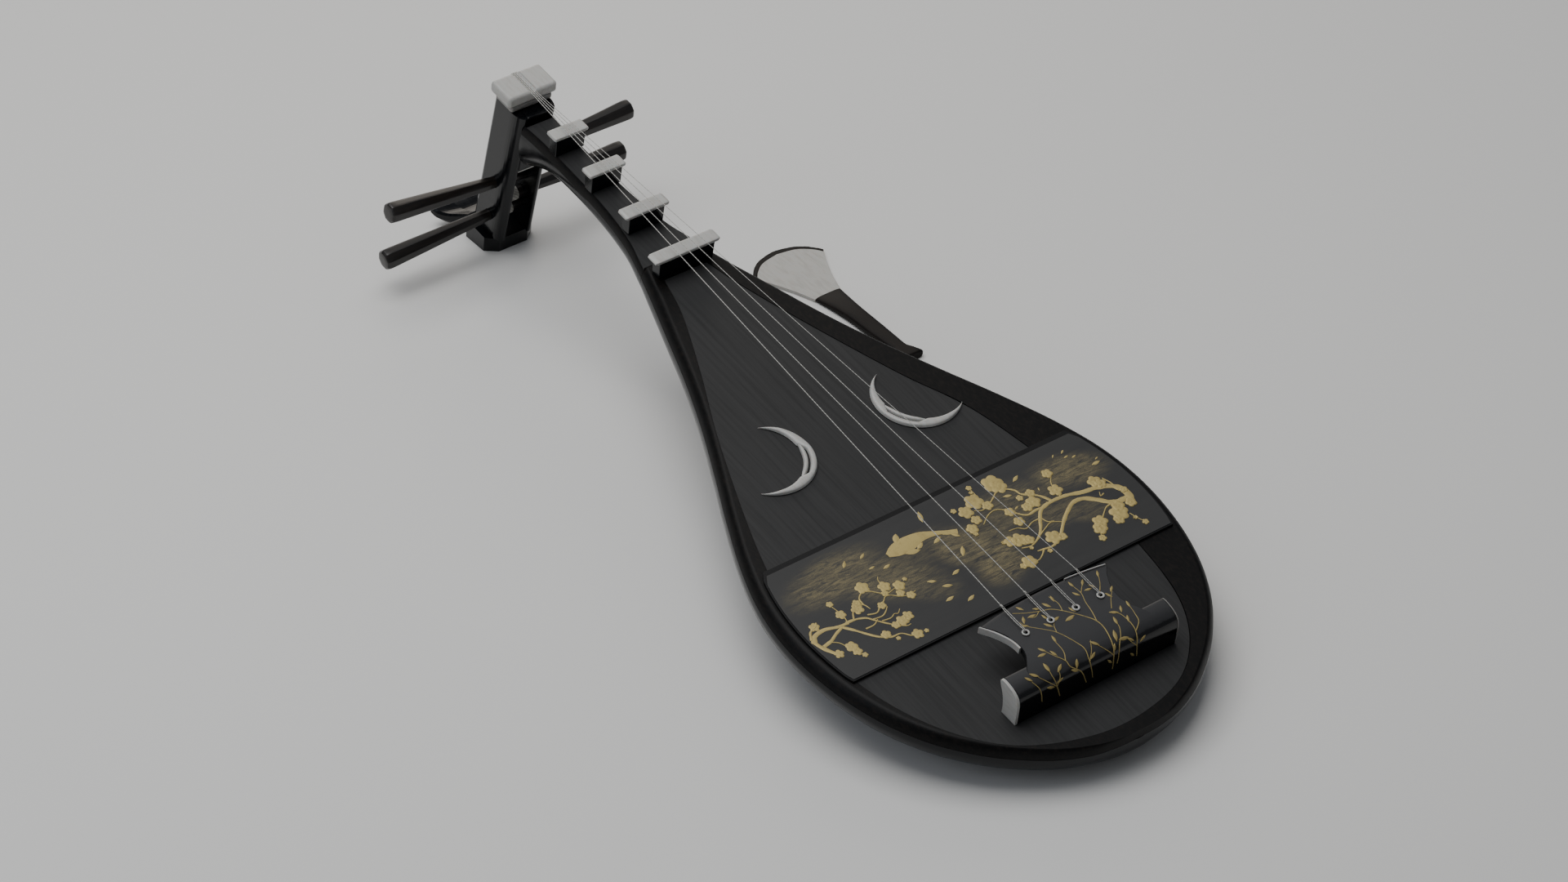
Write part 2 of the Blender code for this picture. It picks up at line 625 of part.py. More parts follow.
def make_plectrum():
    """Fan-shaped blade with a dark tip edge, on a waisted wooden handle with a flared end."""
    mirror = lambda line: [(PLECTRUM_X - x, y) for x, y in line]
    side = [(p.x, p.y) for p in smooth([(0.0140, 0.5750), (0.0210, 0.5960), (0.0305, 0.6180), (0.0365, 0.6300)], 3)]
    arc = [(p.x, p.y) for p in smooth([(0.0365, 0.6300), (0.0300, 0.6390), (0.0180, 0.6480), (0.0, 0.6520)], 3)]
    right = side + arc[1:]
    outline = [(PLECTRUM_X + x, y) for x, y in right] + mirror(right[-2::-1])
    finish(plate("plectrum_blade", outline, 0.0, BLADE_THICKNESS), IVORY, plectrum, bevel=0.0005, segments=1)

    inner = [(x + 0.0002, y + GAP + 0.0001) for x, y in arc]
    outer = [(x * 1.06, y + 0.0045 - 0.0020 * (x / 0.0365) ** 2) for x, y in arc]
    half = inner + outer[::-1]
    tip = [(PLECTRUM_X + x, y) for x, y in inner] + mirror(inner[-2::-1])
    tip += [(PLECTRUM_X - x, y) for x, y in outer] + [(PLECTRUM_X + x, y) for x, y in outer[-2::-1]]
    finish(plate("plectrum_tip", tip, 0.0, BLADE_THICKNESS - 0.0004), HANDLE_WOOD, plectrum)

    widths = [
        (0.5747, 0.0138, 0.6), (0.5560, 0.0112, 0.85), (0.5350, 0.0092, 1.0), (0.5080, 0.0085, 1.0),
        (0.4840, 0.0075, 1.0), (0.4720, 0.0074, 1.0), (0.4660, 0.0105, 1.0), (0.4580, 0.0135, 1.0), (0.4560, 0.0130, 0.9),
    ]
    rings = []
    for y, half, height in smooth(widths, 2):
        tall = HANDLE_THICKNESS * height
        ring = []
        for i in range(12):
            turn = 2 * pi * (i + 0.5) / 12
            x = half * max(-1, min(1, 1.15 * cos(turn)))
            z = tall / 2 * (1 + max(-1, min(1, 1.15 * sin(turn))))
            ring.append((PLECTRUM_X + x, y, z))
        rings.append(ring)
    finish(loft("plectrum_handle", rings), HANDLE_WOOD, plectrum)


def centre_on_floor():
    """Moves everything so that the origin is under the middle of the bounding box."""
    bpy.context.view_layer.update()
    graph = bpy.context.evaluated_depsgraph_get()
    points = []
    for obj in parts.objects:
        if obj.type == "EMPTY":
            continue
        solid = obj.evaluated_get(graph)
        points += [solid.matrix_world @ vert.co for vert in solid.to_mesh().vertices]
        solid.to_mesh_clear()
    middle = [(min(p[i] for p in points) + max(p[i] for p in points)) / 2 for i in range(2)]
    for root in (instrument, plectrum):
        root.location.x -= middle[0]
        root.location.y -= middle[1]
    print("moved by", [round(-m, 5) for m in middle])
    bpy.context.view_layer.update()
    for obj in parts.objects:
        if obj.type == "EMPTY":
            print(obj.name, [round(v, 5) for v in obj.matrix_world.translation])


for old in list(bpy.data.objects):
    bpy.data.objects.remove(old)

LACQUER = material("black_lacquer", "0E1014", 0.12, coat=0.6)
EDGE_WOOD = material("dark_edge_wood", "1B1815", 0.45)
BOARD_WOOD = material("stained_board", "2B2B2B", 0.6)
BAND_WOOD = material("painted_band", "34332F", 0.4)
PLAIN_WOOD = material("plain_wood", "9A7B55", 0.7)
IVORY = material("ivory", "D9D8D2", 0.35)
HORN = material("grey_horn", "8F8E8A", 0.4)
PEG_WOOD = material("peg_wood", "2C2622", 0.35)
SILK = material("silk_string", "C9C9C4", 0.5)
HANDLE_WOOD = material("plectrum_wood", "2A2320", 0.45)

parts = bpy.data.collections.new(OBJECT_NAME)
cutters = bpy.data.collections.new("cutters")
for collection in (parts, cutters):
    bpy.context.scene.collection.children.link(collection)
cutters.hide_render = True

instrument = bpy.data.objects.new("instrument", None)
plectrum = bpy.data.objects.new("plectrum", None)
for root in (instrument, plectrum):
    parts.objects.link(root)
instrument.rotation_euler.x = TILT
instrument.location.z = -FLOOR_AT_BRIDGE * cos(TILT)

floor_cutter = make_body()
make_band()
make_crescents()
make_neck()
make_frets()
make_nut()
make_pegbox(floor_cutter)
make_pegs()
make_bridge()
make_strings()
make_plectrum()
centre_on_floor()
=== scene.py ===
# Four-string biwa lying on its back, with its plectrum beside it
import json
from math import acos, asin, copysign, cos, pi, radians, sin, tan

import bmesh
import bpy
from mathutils import Matrix, Vector, noise


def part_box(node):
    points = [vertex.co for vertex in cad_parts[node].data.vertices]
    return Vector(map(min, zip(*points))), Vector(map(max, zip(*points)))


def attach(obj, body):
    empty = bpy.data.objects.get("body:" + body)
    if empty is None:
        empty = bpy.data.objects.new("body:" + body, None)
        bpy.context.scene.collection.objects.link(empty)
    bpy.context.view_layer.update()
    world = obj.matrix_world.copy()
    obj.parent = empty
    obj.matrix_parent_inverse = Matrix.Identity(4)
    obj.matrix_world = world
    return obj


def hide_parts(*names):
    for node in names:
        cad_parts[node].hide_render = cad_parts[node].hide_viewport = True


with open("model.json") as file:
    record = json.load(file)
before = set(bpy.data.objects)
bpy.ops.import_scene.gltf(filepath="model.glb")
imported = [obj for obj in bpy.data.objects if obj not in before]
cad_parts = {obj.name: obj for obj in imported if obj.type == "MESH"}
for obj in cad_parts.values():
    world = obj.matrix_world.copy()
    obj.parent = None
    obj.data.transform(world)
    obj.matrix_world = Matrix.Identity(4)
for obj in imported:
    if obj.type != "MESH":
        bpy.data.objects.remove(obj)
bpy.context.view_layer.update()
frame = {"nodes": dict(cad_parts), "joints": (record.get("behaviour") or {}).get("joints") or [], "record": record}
nodes = frame["nodes"]
mm = 0.001
gap = 0.3 * mm  # air between pieces that touch

# How the instrument lies. Its soundboard is the plane z = 0 of its own frame, and the bridge's rear edge is y = 0
lie = {
    "tilt": radians(8.65),
    "pegLean": 0.153,  # the pegbox moves this far towards the head for each metre down
    "pegboxFront": 762 * mm,
    "pegboxRear": 802 * mm,
    "firstPegDepth": -65 * mm,
}
firstPeg = next(j for j in frame["joints"] if j["name"] == "peg_1_turn")
pegRow = (lie["pegboxFront"] + lie["pegboxRear"]) / 2
tiltTurn = Matrix.Rotation(lie["tilt"], 4, "X")
pegInFrame = Vector((0, pegRow - lie["pegLean"] * lie["firstPegDepth"], lie["firstPegDepth"]))
origin = Vector(firstPeg["pos_m"]) - tiltTurn @ pegInFrame
toWorld = Matrix.Translation(origin) @ tiltTurn
toFrame = toWorld.inverted()
print("instrument frame at", [round(v, 4) for v in origin])

# The camera's place from the bridge in millimetres, and the way it looks in degrees
view = {"lens": 93.75, "eye": (-1591.1, -1413.7, 2287.1), "azimuth": -36.62, "elevation": 37.72}


def addObject(name, data):
    made = bpy.data.objects.new(name, data)
    bpy.context.scene.collection.objects.link(made)
    return made


def makeCamera():
    data = bpy.data.cameras.new("camera")
    data.lens = view["lens"]
    data.sensor_width = 36
    data.clip_end = 50
    eye = addObject("camera", data)
    eye.location = toWorld @ (Vector(view["eye"]) * mm)
    turn, rise = radians(view["azimuth"]), radians(view["elevation"])
    back = Vector((sin(turn) * cos(rise), -cos(turn) * cos(rise), sin(rise)))
    eye.rotation_mode = "QUATERNION"
    eye.rotation_quaternion = (-back).to_track_quat("-Z", "Y")
    bpy.context.scene.camera = eye


makeCamera()
print("camera placed")


# Nodes and colours
def hexToLinear(code):
    channels = [int(code[i : i + 2], 16) / 255 for i in (0, 2, 4)]
    return [c / 12.92 if c < 0.04045 else ((c + 0.055) / 1.055) ** 2.4 for c in channels] + [1.0]


def addNode(tree, kind, settings=None, values=None, links=None):
    node = tree.nodes.new(kind)
    for name, value in (settings or {}).items():
        setattr(node, name, value)
    for name, value in (values or {}).items():
        node.inputs[name].default_value = value
    for name, socket in (links or {}).items():
        tree.links.new(socket, node.inputs[name])
    return node


def startMaterial(name, colour, **sockets):
    material = bpy.data.materials.new(name)
    material.use_nodes = True
    tree = material.node_tree
    shader = tree.nodes["Principled BSDF"]
    shader.inputs["Base Color"].default_value = hexToLinear(colour)
    for socket, value in sockets.items():
        shader.inputs[socket.replace("_", " ")].default_value = value
    coords = addNode(tree, "ShaderNodeTexCoord")
    place = addNode(
        tree,
        "ShaderNodeMapping",
        {"vector_type": "POINT"},
        {"Location": toFrame.translation, "Rotation": (-lie["tilt"], 0, 0)},
        {"Vector": coords.outputs["Object"]},
    )
    return material, tree, shader, place.outputs["Vector"]


def stretched(tree, place, perMetre, turn=0.0):
    # the pattern's cells per metre along x, y and z
    return addNode(
        tree, "ShaderNodeMapping", {}, {"Scale": perMetre, "Rotation": (0, 0, turn)}, {"Vector": place}
    ).outputs["Vector"]


def twoTone(tree, pattern, dark, light, span=None, ease="LINEAR"):
    # a colour that runs from dark to light with a pattern, or between two levels of it
    if span:
        pattern = addNode(tree, "ShaderNodeMapRange", {"interpolation_type": ease}, {
            "From Min": span[0], "From Max": span[1]
        }, {"Value": pattern}).outputs["Result"]
    tones = {6: hexToLinear(dark), 7: hexToLinear(light)}
    return addNode(tree, "ShaderNodeMix", {"data_type": "RGBA"}, tones, {0: pattern}).outputs[2], pattern


def finishSurface(tree, shader, colour, gloss, roughness, raised, strength, relief, span=(0, 1)):
    # joins the colour, a roughness that follows the gloss pattern and a bump that follows the raised one
    if roughness:
        rough = addNode(tree, "ShaderNodeMapRange", {}, {
            "From Min": span[0], "From Max": span[1], "To Min": roughness[0], "To Max": roughness[1]
        }, {"Value": gloss})
        tree.links.new(rough.outputs["Result"], shader.inputs["Roughness"])
    bump = addNode(tree, "ShaderNodeBump", {}, {"Strength": strength, "Distance": relief}, {"Height": raised})
    tree.links.new(bump.outputs["Normal"], shader.inputs["Normal"])
    if colour:
        tree.links.new(colour, shader.inputs["Base Color"])


def makeUrushi():
    # urushi: raw lacquer wiped and polished over wood, black and deep with a clear wet highlight
    values = {
        "dark": "020304", "light": "06080C", "roughness": (0.14, 0.28), "cloud": 60 * mm, "ripple": 14 * mm,
        "wipesPerMetre": (220, 40, 220), "relief": 0.05 * mm,
    }
    material, tree, shader, place = startMaterial(
        "urushiBlackPolished", values["dark"], Coat_Weight=0.1, Coat_Roughness=0.08, IOR=1.5, Specular_IOR_Level=0.25
    )
    cloud = addNode(tree, "ShaderNodeTexNoise", {}, {"Scale": 1 / values["cloud"], "Detail": 4}, {"Vector": place})
    wipes = addNode(tree, "ShaderNodeTexNoise", {}, {"Scale": 1.0, "Detail": 5, "Roughness": 0.65}, {
        "Vector": stretched(tree, place, values["wipesPerMetre"])
    })
    ripple = addNode(tree, "ShaderNodeTexNoise", {}, {"Scale": 1 / values["ripple"], "Detail": 2}, {"Vector": place})
    colour, _ = twoTone(tree, cloud.outputs["Fac"], values["dark"], values["light"])
    finishSurface(
        tree, shader, colour, wipes.outputs["Fac"], values["roughness"], ripple.outputs["Fac"], 0.5,
        values["relief"], (0.3, 0.75),
    )
    return material


def makeBridgeLacquer():
    # lacquered bridge: deep black on its sides; its upper faces satin and painted lighter grey as a painted sheen of
    # the light from above, broken up by scuff noise
    values = {"black": "040405", "sheenGrey": "272728", "scuffs": 9 * mm, "relief": 0.05 * mm}
    material, tree, shader, place = startMaterial(
        "urushiBridgePaintedSheen", values["black"], IOR=1.5, Specular_IOR_Level=0.4
    )
    # painted sheen: the more a face points up, the lighter grey it is painted; scuff noise breaks the edge of the
    # grey
    normal = addNode(tree, "ShaderNodeNewGeometry")
    facing = addNode(tree, "ShaderNodeSeparateXYZ", {}, {}, {0: normal.outputs["Normal"]})
    scuffs = addNode(tree, "ShaderNodeTexNoise", {}, {"Scale": 1 / values["scuffs"], "Detail": 6, "Roughness": 0.6}, {
        "Vector": place
    }).outputs["Fac"]
    sheenMask = addNode(tree, "ShaderNodeMath", {"operation": "MULTIPLY_ADD"}, {1: 0.22}, {
        0: scuffs, 2: facing.outputs["Z"]
    })
    colour, upper = twoTone(
        tree, sheenMask.outputs["Value"], values["black"], values["sheenGrey"], (0.78, 0.93), "SMOOTHSTEP"
    )
    finishSurface(tree, shader, colour, upper, (0.16, 0.42), scuffs, 0.4, values["relief"])
    return material


def makeBoardWood():
    # paulownia soundboard, charcoal-stained and brushed: straight fine grain, nearly matt
    values = {"early": "282828", "late": "212121", "grain": 1.6 * mm, "stain": 90 * mm, "relief": 0.12 * mm}
    material, tree, shader, place = startMaterial(
        "paulowniaBoardStained", values["early"], IOR=1.45, Specular_IOR_Level=0.3
    )
    grain = addNode(tree, "ShaderNodeTexNoise", {}, {
        "Scale": 1.0, "Detail": 5, "Roughness": 0.6, "Distortion": 0.3
    }, {
        "Vector": stretched(tree, place, (0.5 / values["grain"], 9, 60))
    }).outputs["Fac"]
    colour, _ = twoTone(tree, grain, values["early"], values["late"], (0.42, 0.72))
    stain = addNode(tree, "ShaderNodeTexNoise", {}, {"Scale": 1 / values["stain"], "Detail": 3}, {"Vector": place})
    shade = addNode(tree, "ShaderNodeMapRange", {}, {"To Min": 0.80, "To Max": 1.2}, {"Value": stain.outputs["Fac"]})
    toned = addNode(tree, "ShaderNodeVectorMath", {"operation": "SCALE"}, {}, {
        0: colour, "Scale": shade.outputs["Result"]
    })
    finishSurface(tree, shader, toned.outputs["Vector"], grain, (0.5, 0.75), grain, 0.5, values["relief"])
    return material


def makeBandWood():
    # lacquered panel with sprinkled gold: dark cross-grained ground, gold dust in drifting clouds
    values = {
        "ground": "272727",
        "streak": "313130",
        "gold": "8F825C",
        "powder": 0.7 * mm,  # the real powder is 0.1 mm: drawn coarser so that it shows
        "clouds": [  # middle x and y, half length and half width in mm, turn in degrees, how dense
            (-108, 192, 58, 26, 8, 0.8), (-76, 172, 62, 30, -28, 0.7), (-52, 148, 36, 20, -35, 0.45),
            (-30, 180, 40, 22, 10, 0.35), (0, 166, 40, 26, -30, 0.85), (14, 138, 32, 26, 40, 0.95),
            (26, 160, 30, 30, 0, 0.6), (62, 180, 50, 30, 0, 0.55), (84, 156, 34, 18, 10, 0.55),
            (124, 188, 42, 22, -12, 0.85), (108, 148, 30, 18, -30, 0.4),
        ],
    }
    material, tree, shader, place = startMaterial(
        "urushiSprinkledGround", values["ground"], IOR=1.5, Specular_IOR_Level=0.3
    )
    grain = addNode(tree, "ShaderNodeTexNoise", {}, {
        "Scale": 1.0, "Detail": 5, "Roughness": 0.6, "Distortion": 0.6
    }, {
        "Vector": stretched(tree, place, (11, 110, 60))
    }).outputs["Fac"]
    ground, _ = twoTone(tree, grain, values["ground"], values["streak"])
    cover = None
    for x, y, long, wide, turn, dense in values["clouds"]:
        moved = addNode(tree, "ShaderNodeVectorMath", {"operation": "SUBTRACT"}, {1: (x * mm, y * mm, 0)}, {0: place})
        near = addNode(tree, "ShaderNodeMapping", {}, {
            "Rotation": (0, 0, radians(-turn)), "Scale": (1, 1, 0)
        }, {"Vector": moved.outputs["Vector"]})
        scaled = addNode(tree, "ShaderNodeVectorMath", {"operation": "MULTIPLY"}, {
            1: (1 / (long * mm), 1 / (wide * mm), 0)
        }, {0: near.outputs["Vector"]})
        reach = addNode(tree, "ShaderNodeVectorMath", {"operation": "LENGTH"}, {}, {0: scaled.outputs["Vector"]})
        soft = addNode(tree, "ShaderNodeMapRange", {"interpolation_type": "SMOOTHERSTEP"}, {
            "From Min": 1.1, "From Max": 0.3, "To Min": 0.0, "To Max": dense
        }, {"Value": reach.outputs["Value"]}).outputs["Result"]
        cover = soft if cover is None else addNode(tree, "ShaderNodeMath", {"operation": "MAXIMUM"}, {}, {
            0: cover, 1: soft
        }).outputs["Value"]
    streaks = addNode(tree, "ShaderNodeTexNoise", {}, {
        "Scale": 1.0, "Detail": 8, "Roughness": 0.72, "Distortion": 1.1
    }, {"Vector": stretched(tree, place, (60, 330, 1), radians(14))})
    powder = addNode(tree, "ShaderNodeTexNoise", {}, {"Scale": 1 / values["powder"], "Detail": 2}, {"Vector": place})
    brushed = addNode(tree, "ShaderNodeMapRange", {}, {"From Min": 0.36, "From Max": 0.66}, {
        "Value": streaks.outputs["Fac"]
    })
    grains = addNode(tree, "ShaderNodeMapRange", {}, {"From Min": 0.35, "From Max": 0.65, "To Min": 0.45}, {
        "Value": powder.outputs["Fac"]
    })
    dust = addNode(tree, "ShaderNodeMath", {"operation": "MULTIPLY"}, {}, {
        0: brushed.outputs["Result"], 1: grains.outputs["Result"]
    })
    laid = addNode(tree, "ShaderNodeMath", {"operation": "MULTIPLY", "use_clamp": True}, {}, {
        0: dust.outputs["Value"], 1: cover
    }).outputs["Value"]
    colour = addNode(tree, "ShaderNodeMix", {"data_type": "RGBA"}, {7: hexToLinear(values["gold"])}, {
        0: laid, 6: ground
    })
    metal = addNode(tree, "ShaderNodeMath", {"operation": "MULTIPLY"}, {1: 0.25}, {0: laid})
    tree.links.new(metal.outputs["Value"], shader.inputs["Metallic"])
    finishSurface(tree, shader, colour.outputs[2], grain, (0.38, 0.6), grain, 0.4, 0.1 * mm)
    return material


def makeGold(name="goldPowderBurnished", bright="AE9B60", worn="93804E"):
    # raised gold powder on lacquer, burnished by hand: warm, slightly grainy metal, duller in patches
    values = {"patches": 7 * mm, "grain": 0.9 * mm, "relief": 0.04 * mm}
    material, tree, shader, place = startMaterial(name, bright, Metallic=0.35)
    patches = addNode(tree, "ShaderNodeTexNoise", {}, {
        "Scale": 1 / values["patches"], "Detail": 6, "Roughness": 0.7
    }, {"Vector": place}).outputs["Fac"]
    powder = addNode(tree, "ShaderNodeTexNoise", {}, {"Scale": 1 / values["grain"], "Detail": 3}, {"Vector": place})
    colour, _ = twoTone(tree, patches, bright, worn, (0.5, 0.8))
    finishSurface(tree, shader, colour, patches, (0.45, 0.65), powder.outputs["Fac"], 0.5, values["relief"])
    return material


def makeGrained(name, tones, noise, perMetre, span, roughness, strength, relief, ease="LINEAR", **sockets):
    # one stretched noise is the grain: it tints the surface, varies its gloss and raises it
    material, tree, shader, place = startMaterial(name, tones[0], **sockets)
    grain = addNode(tree, "ShaderNodeTexNoise", {}, {"Scale": 1.0, **noise}, {
        "Vector": stretched(tree, place, perMetre)
    }).outputs["Fac"]
    colour = twoTone(tree, grain, *tones, span, ease)[0] if len(tones) > 1 else None
    finishSurface(tree, shader, colour, grain, roughness, grain, strength, relief)
    return material


def makeBone(name, white, cream, perMetre, roughness):
    # ivory, horn or scraped boxwood: sawn and polished by hand, pale with faint grain lines, soft gloss
    return makeGrained(
        name, (white, cream), {"Detail": 5, "Roughness": 0.6, "Distortion": 0.4}, perMetre, (0.45, 0.8), roughness,
        0.4, 0.03 * mm, IOR=1.54, Subsurface_Weight=0.08, Subsurface_Scale=1.5 * mm,
    )


def makeTurnedWood(name, dark, light, perMetre, roughness, coat, specular=0.35):
    # close-grained hardwood, planed and oiled: long dark pores, the gloss broken along them
    return makeGrained(
        name, (dark, light), {"Detail": 6, "Roughness": 0.65, "Distortion": 0.5}, perMetre, (0.35, 0.7), roughness,
        0.5, 0.08 * mm, Coat_Weight=coat, Coat_Roughness=0.18, IOR=1.5, Specular_IOR_Level=specular,
    )


def makeSilk():
    # waxed twisted silk: off-white, satin, the twist 1.5 mm long drawn at 3 mm so that it shows
    values = {"dark": "8F8D86", "light": "B4B2AC", "twist": 6 * mm, "relief": 0.1 * mm}
    material, tree, shader, place = startMaterial("silkTwistedWaxed", "A9A7A1", Roughness=0.45, Sheen_Weight=0.2)
    twist = addNode(tree, "ShaderNodeTexWave", {"bands_direction": "DIAGONAL"}, {"Scale": 1 / values["twist"]}, {
        "Vector": place
    }).outputs["Fac"]
    colour, _ = twoTone(tree, twist, values["dark"], values["light"])
    finishSurface(tree, shader, colour, None, None, twist, 0.6, values["relief"])
    return material


urushi = makeUrushi()
borderLacquer = makeGrained(  # thin line of plain lacquer round the panel, brushed matt: black with no highlight
    "lacquerBrushedMatt", ["060607"], {"Detail": 4}, (60, 400, 400), None, (0.36, 0.62), 0.4, 0.05 * mm,
    Roughness=0.5, IOR=1.5, Specular_IOR_Level=0.2,
)
bridgeLacquer = makeBridgeLacquer()
flecks = {"across": 0.9 * mm, "along": 4 * mm}
edgeWood = makeGrained(  # mulberry rim, stained and rubbed with lacquer: brown flecks in black, half gloss
    "mulberryRimRubbed", ("010101", "120D0A"), {"Detail": 6, "Roughness": 0.7},
    (0.35 / flecks["across"], 0.6 / flecks["along"], 0.35 / flecks["across"]), (0.44, 0.68), (0.34, 0.58),
    0.6, 0.10 * mm, "SMOOTHSTEP", IOR=1.5, Specular_IOR_Level=0.15,
)
boardWood = makeBoardWood()
bandWood = makeBandWood()
gold = makeGold()
sprigGold = makeGold("goldPowderRubbedThin", "94834F", "78693F")
ivory = makeBone("ivorySawnPolished", "A9A8A4", "9B9890", (420, 60, 420), (0.26, 0.42))
horn = makeBone("hornGreyPolished", "807E7A", "62605B", (180, 60, 180), (0.3, 0.45))
boxwood = makeBone("boxwoodBladeScraped", "A5A39E", "96938B", (300, 40, 300), (0.4, 0.6))
pegWood = makeTurnedWood("rosewoodPegPlaned", "0B0908", "1E1814", (30, 420, 420), (0.22, 0.42), 0.25)
handleWood = makeTurnedWood("rosewoodHandleOiled", "0C0A09", "1C1714", (420, 30, 420), (0.40, 0.60), 0.0, 0.12)
plainWood = makeTurnedWood("cedarBarPlaned", "8A6B47", "A98A62", (30, 300, 300), (0.55, 0.75), 0.0)
silk = makeSilk()
finishes = {
    "black_lacquer": urushi,
    "dark_edge_wood": edgeWood,
    "stained_board": boardWood,
    "painted_band": bandWood,
    "plain_wood": plainWood,
    "ivory": ivory,
    "grey_horn": horn,
    "peg_wood": pegWood,
    "silk_string": silk,
    "plectrum_wood": handleWood,
}
slotOf = {finish.name: slot for slot, finish in finishes.items()}
for finish, slot in (
    (borderLacquer, "painted_band"), (gold, "painted_band"), (bridgeLacquer, "black_lacquer"),
    (sprigGold, "black_lacquer"), (boxwood, "ivory"),
):
    slotOf[finish.name] = slot
for part in frame["record"]["subparts"]:
    shape = nodes[part["node"]]
    shape.data.materials.clear()
    shape.data.materials.append(finishes[part["material_slot"]])
print("materials made")


# Mesh tools: everything is drawn in the instrument's own frame and then laid down with it
def smoothLine(points, steps):
    # a smooth curve through the points
    points = [Vector(p) for p in points]
    line = [2 * points[0] - points[1], *points, 2 * points[-1] - points[-2]]
    found = []
    for a, b, c, d in zip(line, line[1:], line[2:], line[3:]):
        for i in range(steps):
            t = i / steps
            found.append(
                0.5 * (2 * b + (c - a) * t + (2 * a - 5 * b + 4 * c - d) * t * t + (3 * b - a - 3 * c + d) * t**3)
            )
    return [*found, points[-1]]


def both(line):
    # an outline from its right-hand side
    return [(x, y) for x, y in line] + [(-x, y) for x, y in line[::-1]]


def squareRing(count, sideways, upward):
    # a ring squarer than a circle, the more so the smaller its two powers
    turns = [2 * pi * (i + 0.5) / count for i in range(count)]
    return [(copysign(abs(cos(t)) ** sideways, cos(t)), copysign(abs(sin(t)) ** upward, sin(t))) for t in turns]


def halfAt(line, y):
    # the half width at y on a line of stations
    for a, b in zip(line, line[1:]):
        if a[0] <= y <= b[0]:
            return a[1] + (b[1] - a[1]) * (y - a[0]) / (b[0] - a[0])
    return line[-1][1]


def addLoft(bm, rings, closedAlong=False):
    rows = [[bm.verts.new(p) for p in ring] for ring in rings]
    for low, high in zip(rows, rows[1:] + rows[:1] if closedAlong else rows[1:]):
        for i in range(len(low)):
            j = (i + 1) % len(low)
            bm.faces.new((low[i], low[j], high[j], high[i]))
    if not closedAlong:
        bm.faces.new(rows[0][::-1])
        bm.faces.new(rows[-1])
    return bm


def slab(outline, low, high, edge=0.0, segments=2):
    # a flat outline with thickness; its upper edge is rounded over
    bm = bmesh.new()
    base = bm.faces.new([bm.verts.new((a, b, low)) for a, b in outline])
    lid = bmesh.ops.extrude_face_region(bm, geom=[base])["geom"]
    for item in lid:
        if isinstance(item, bmesh.types.BMVert):
            item.co.z = high
    if edge:
        rim = [e for e in bm.edges if all(abs(v.co.z - high) < 1e-7 for v in e.verts)]
        bmesh.ops.bevel(
            bm, geom=rim, offset=edge, segments=segments, affect="EDGES", profile=0.5, clamp_overlap=True
        )
    return bm


def roundedBlock(low, high, edge, segments=3):
    bm = bmesh.new()
    bmesh.ops.create_cube(bm, size=1.0)
    for vert in bm.verts:
        vert.co = [low[i] + (vert.co[i] + 0.5) * (high[i] - low[i]) for i in range(3)]
    bmesh.ops.bevel(bm, geom=bm.edges[:], offset=edge, segments=segments, affect="EDGES", profile=0.5)
    return bm


def sweep(bm, points, radius, sides=10):
    # a round wire along a path, closed at its ends
    points = [Vector(p) for p in points]
    side = None
    rings = []
    for i, point in enumerate(points):
        run = (points[min(i + 1, len(points) - 1)] - points[max(i - 1, 0)]).normalized()
        if side is None:
            side = run.orthogonal().normalized()
        side = (side - run * side.dot(run)).normalized()
        other = run.cross(side)
        turns = [2 * pi * j / sides for j in range(sides)]
        rings.append([point + (side * cos(t) + other * sin(t)) * radius for t in turns])
    addLoft(bm, rings)


def asMesh(bm, name):
    bmesh.ops.recalc_face_normals(bm, faces=bm.faces[:])
    data = bpy.data.meshes.new(name)
    bm.to_mesh(data)
    bm.free()
    return data


def carve(bm, cutter, operation="DIFFERENCE"):
    made = []
    for name, part in (("blank", bm), ("cutter", cutter)):
        made.append(addObject(name, asMesh(part, name)))
    cut = made[0].modifiers.new("cut", "BOOLEAN")
    cut.operation = operation
    cut.object = made[1]
    bpy.context.view_layer.update()
    graph = bpy.context.evaluated_depsgraph_get()
    data = bpy.data.meshes.new_from_object(made[0].evaluated_get(graph))
    for blank in made:
        mesh = blank.data
        bpy.data.objects.remove(blank)
        bpy.data.meshes.remove(mesh)
    found = bmesh.new()
    found.from_mesh(data)
    bpy.data.meshes.remove(data)
    return found


def shadeEvenly(shape, sharp, weighted=True):
    # smooth shading, with an edge kept where faces meet at more than so many degrees
    shape.data.shade_smooth()
    shape.data.set_sharp_from_angle(angle=radians(sharp))
    if weighted:
        shape.modifiers.new("evenShading", "WEIGHTED_NORMAL").keep_sharp = True


def layPiece(name, bm, material, body="instrument", sharp=35, place=toWorld, weighted=True, replaced=None):
    # a piece stands for the built node of its own name unless another is given
    bm.transform(place)
    piece = addObject(name, asMesh(bm, name))
    piece.data.materials.append(material)
    shadeEvenly(piece, sharp, weighted)
    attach(piece, body)
    replaced = [name] if replaced is None else replaced
    if replaced:
        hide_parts(*replaced)


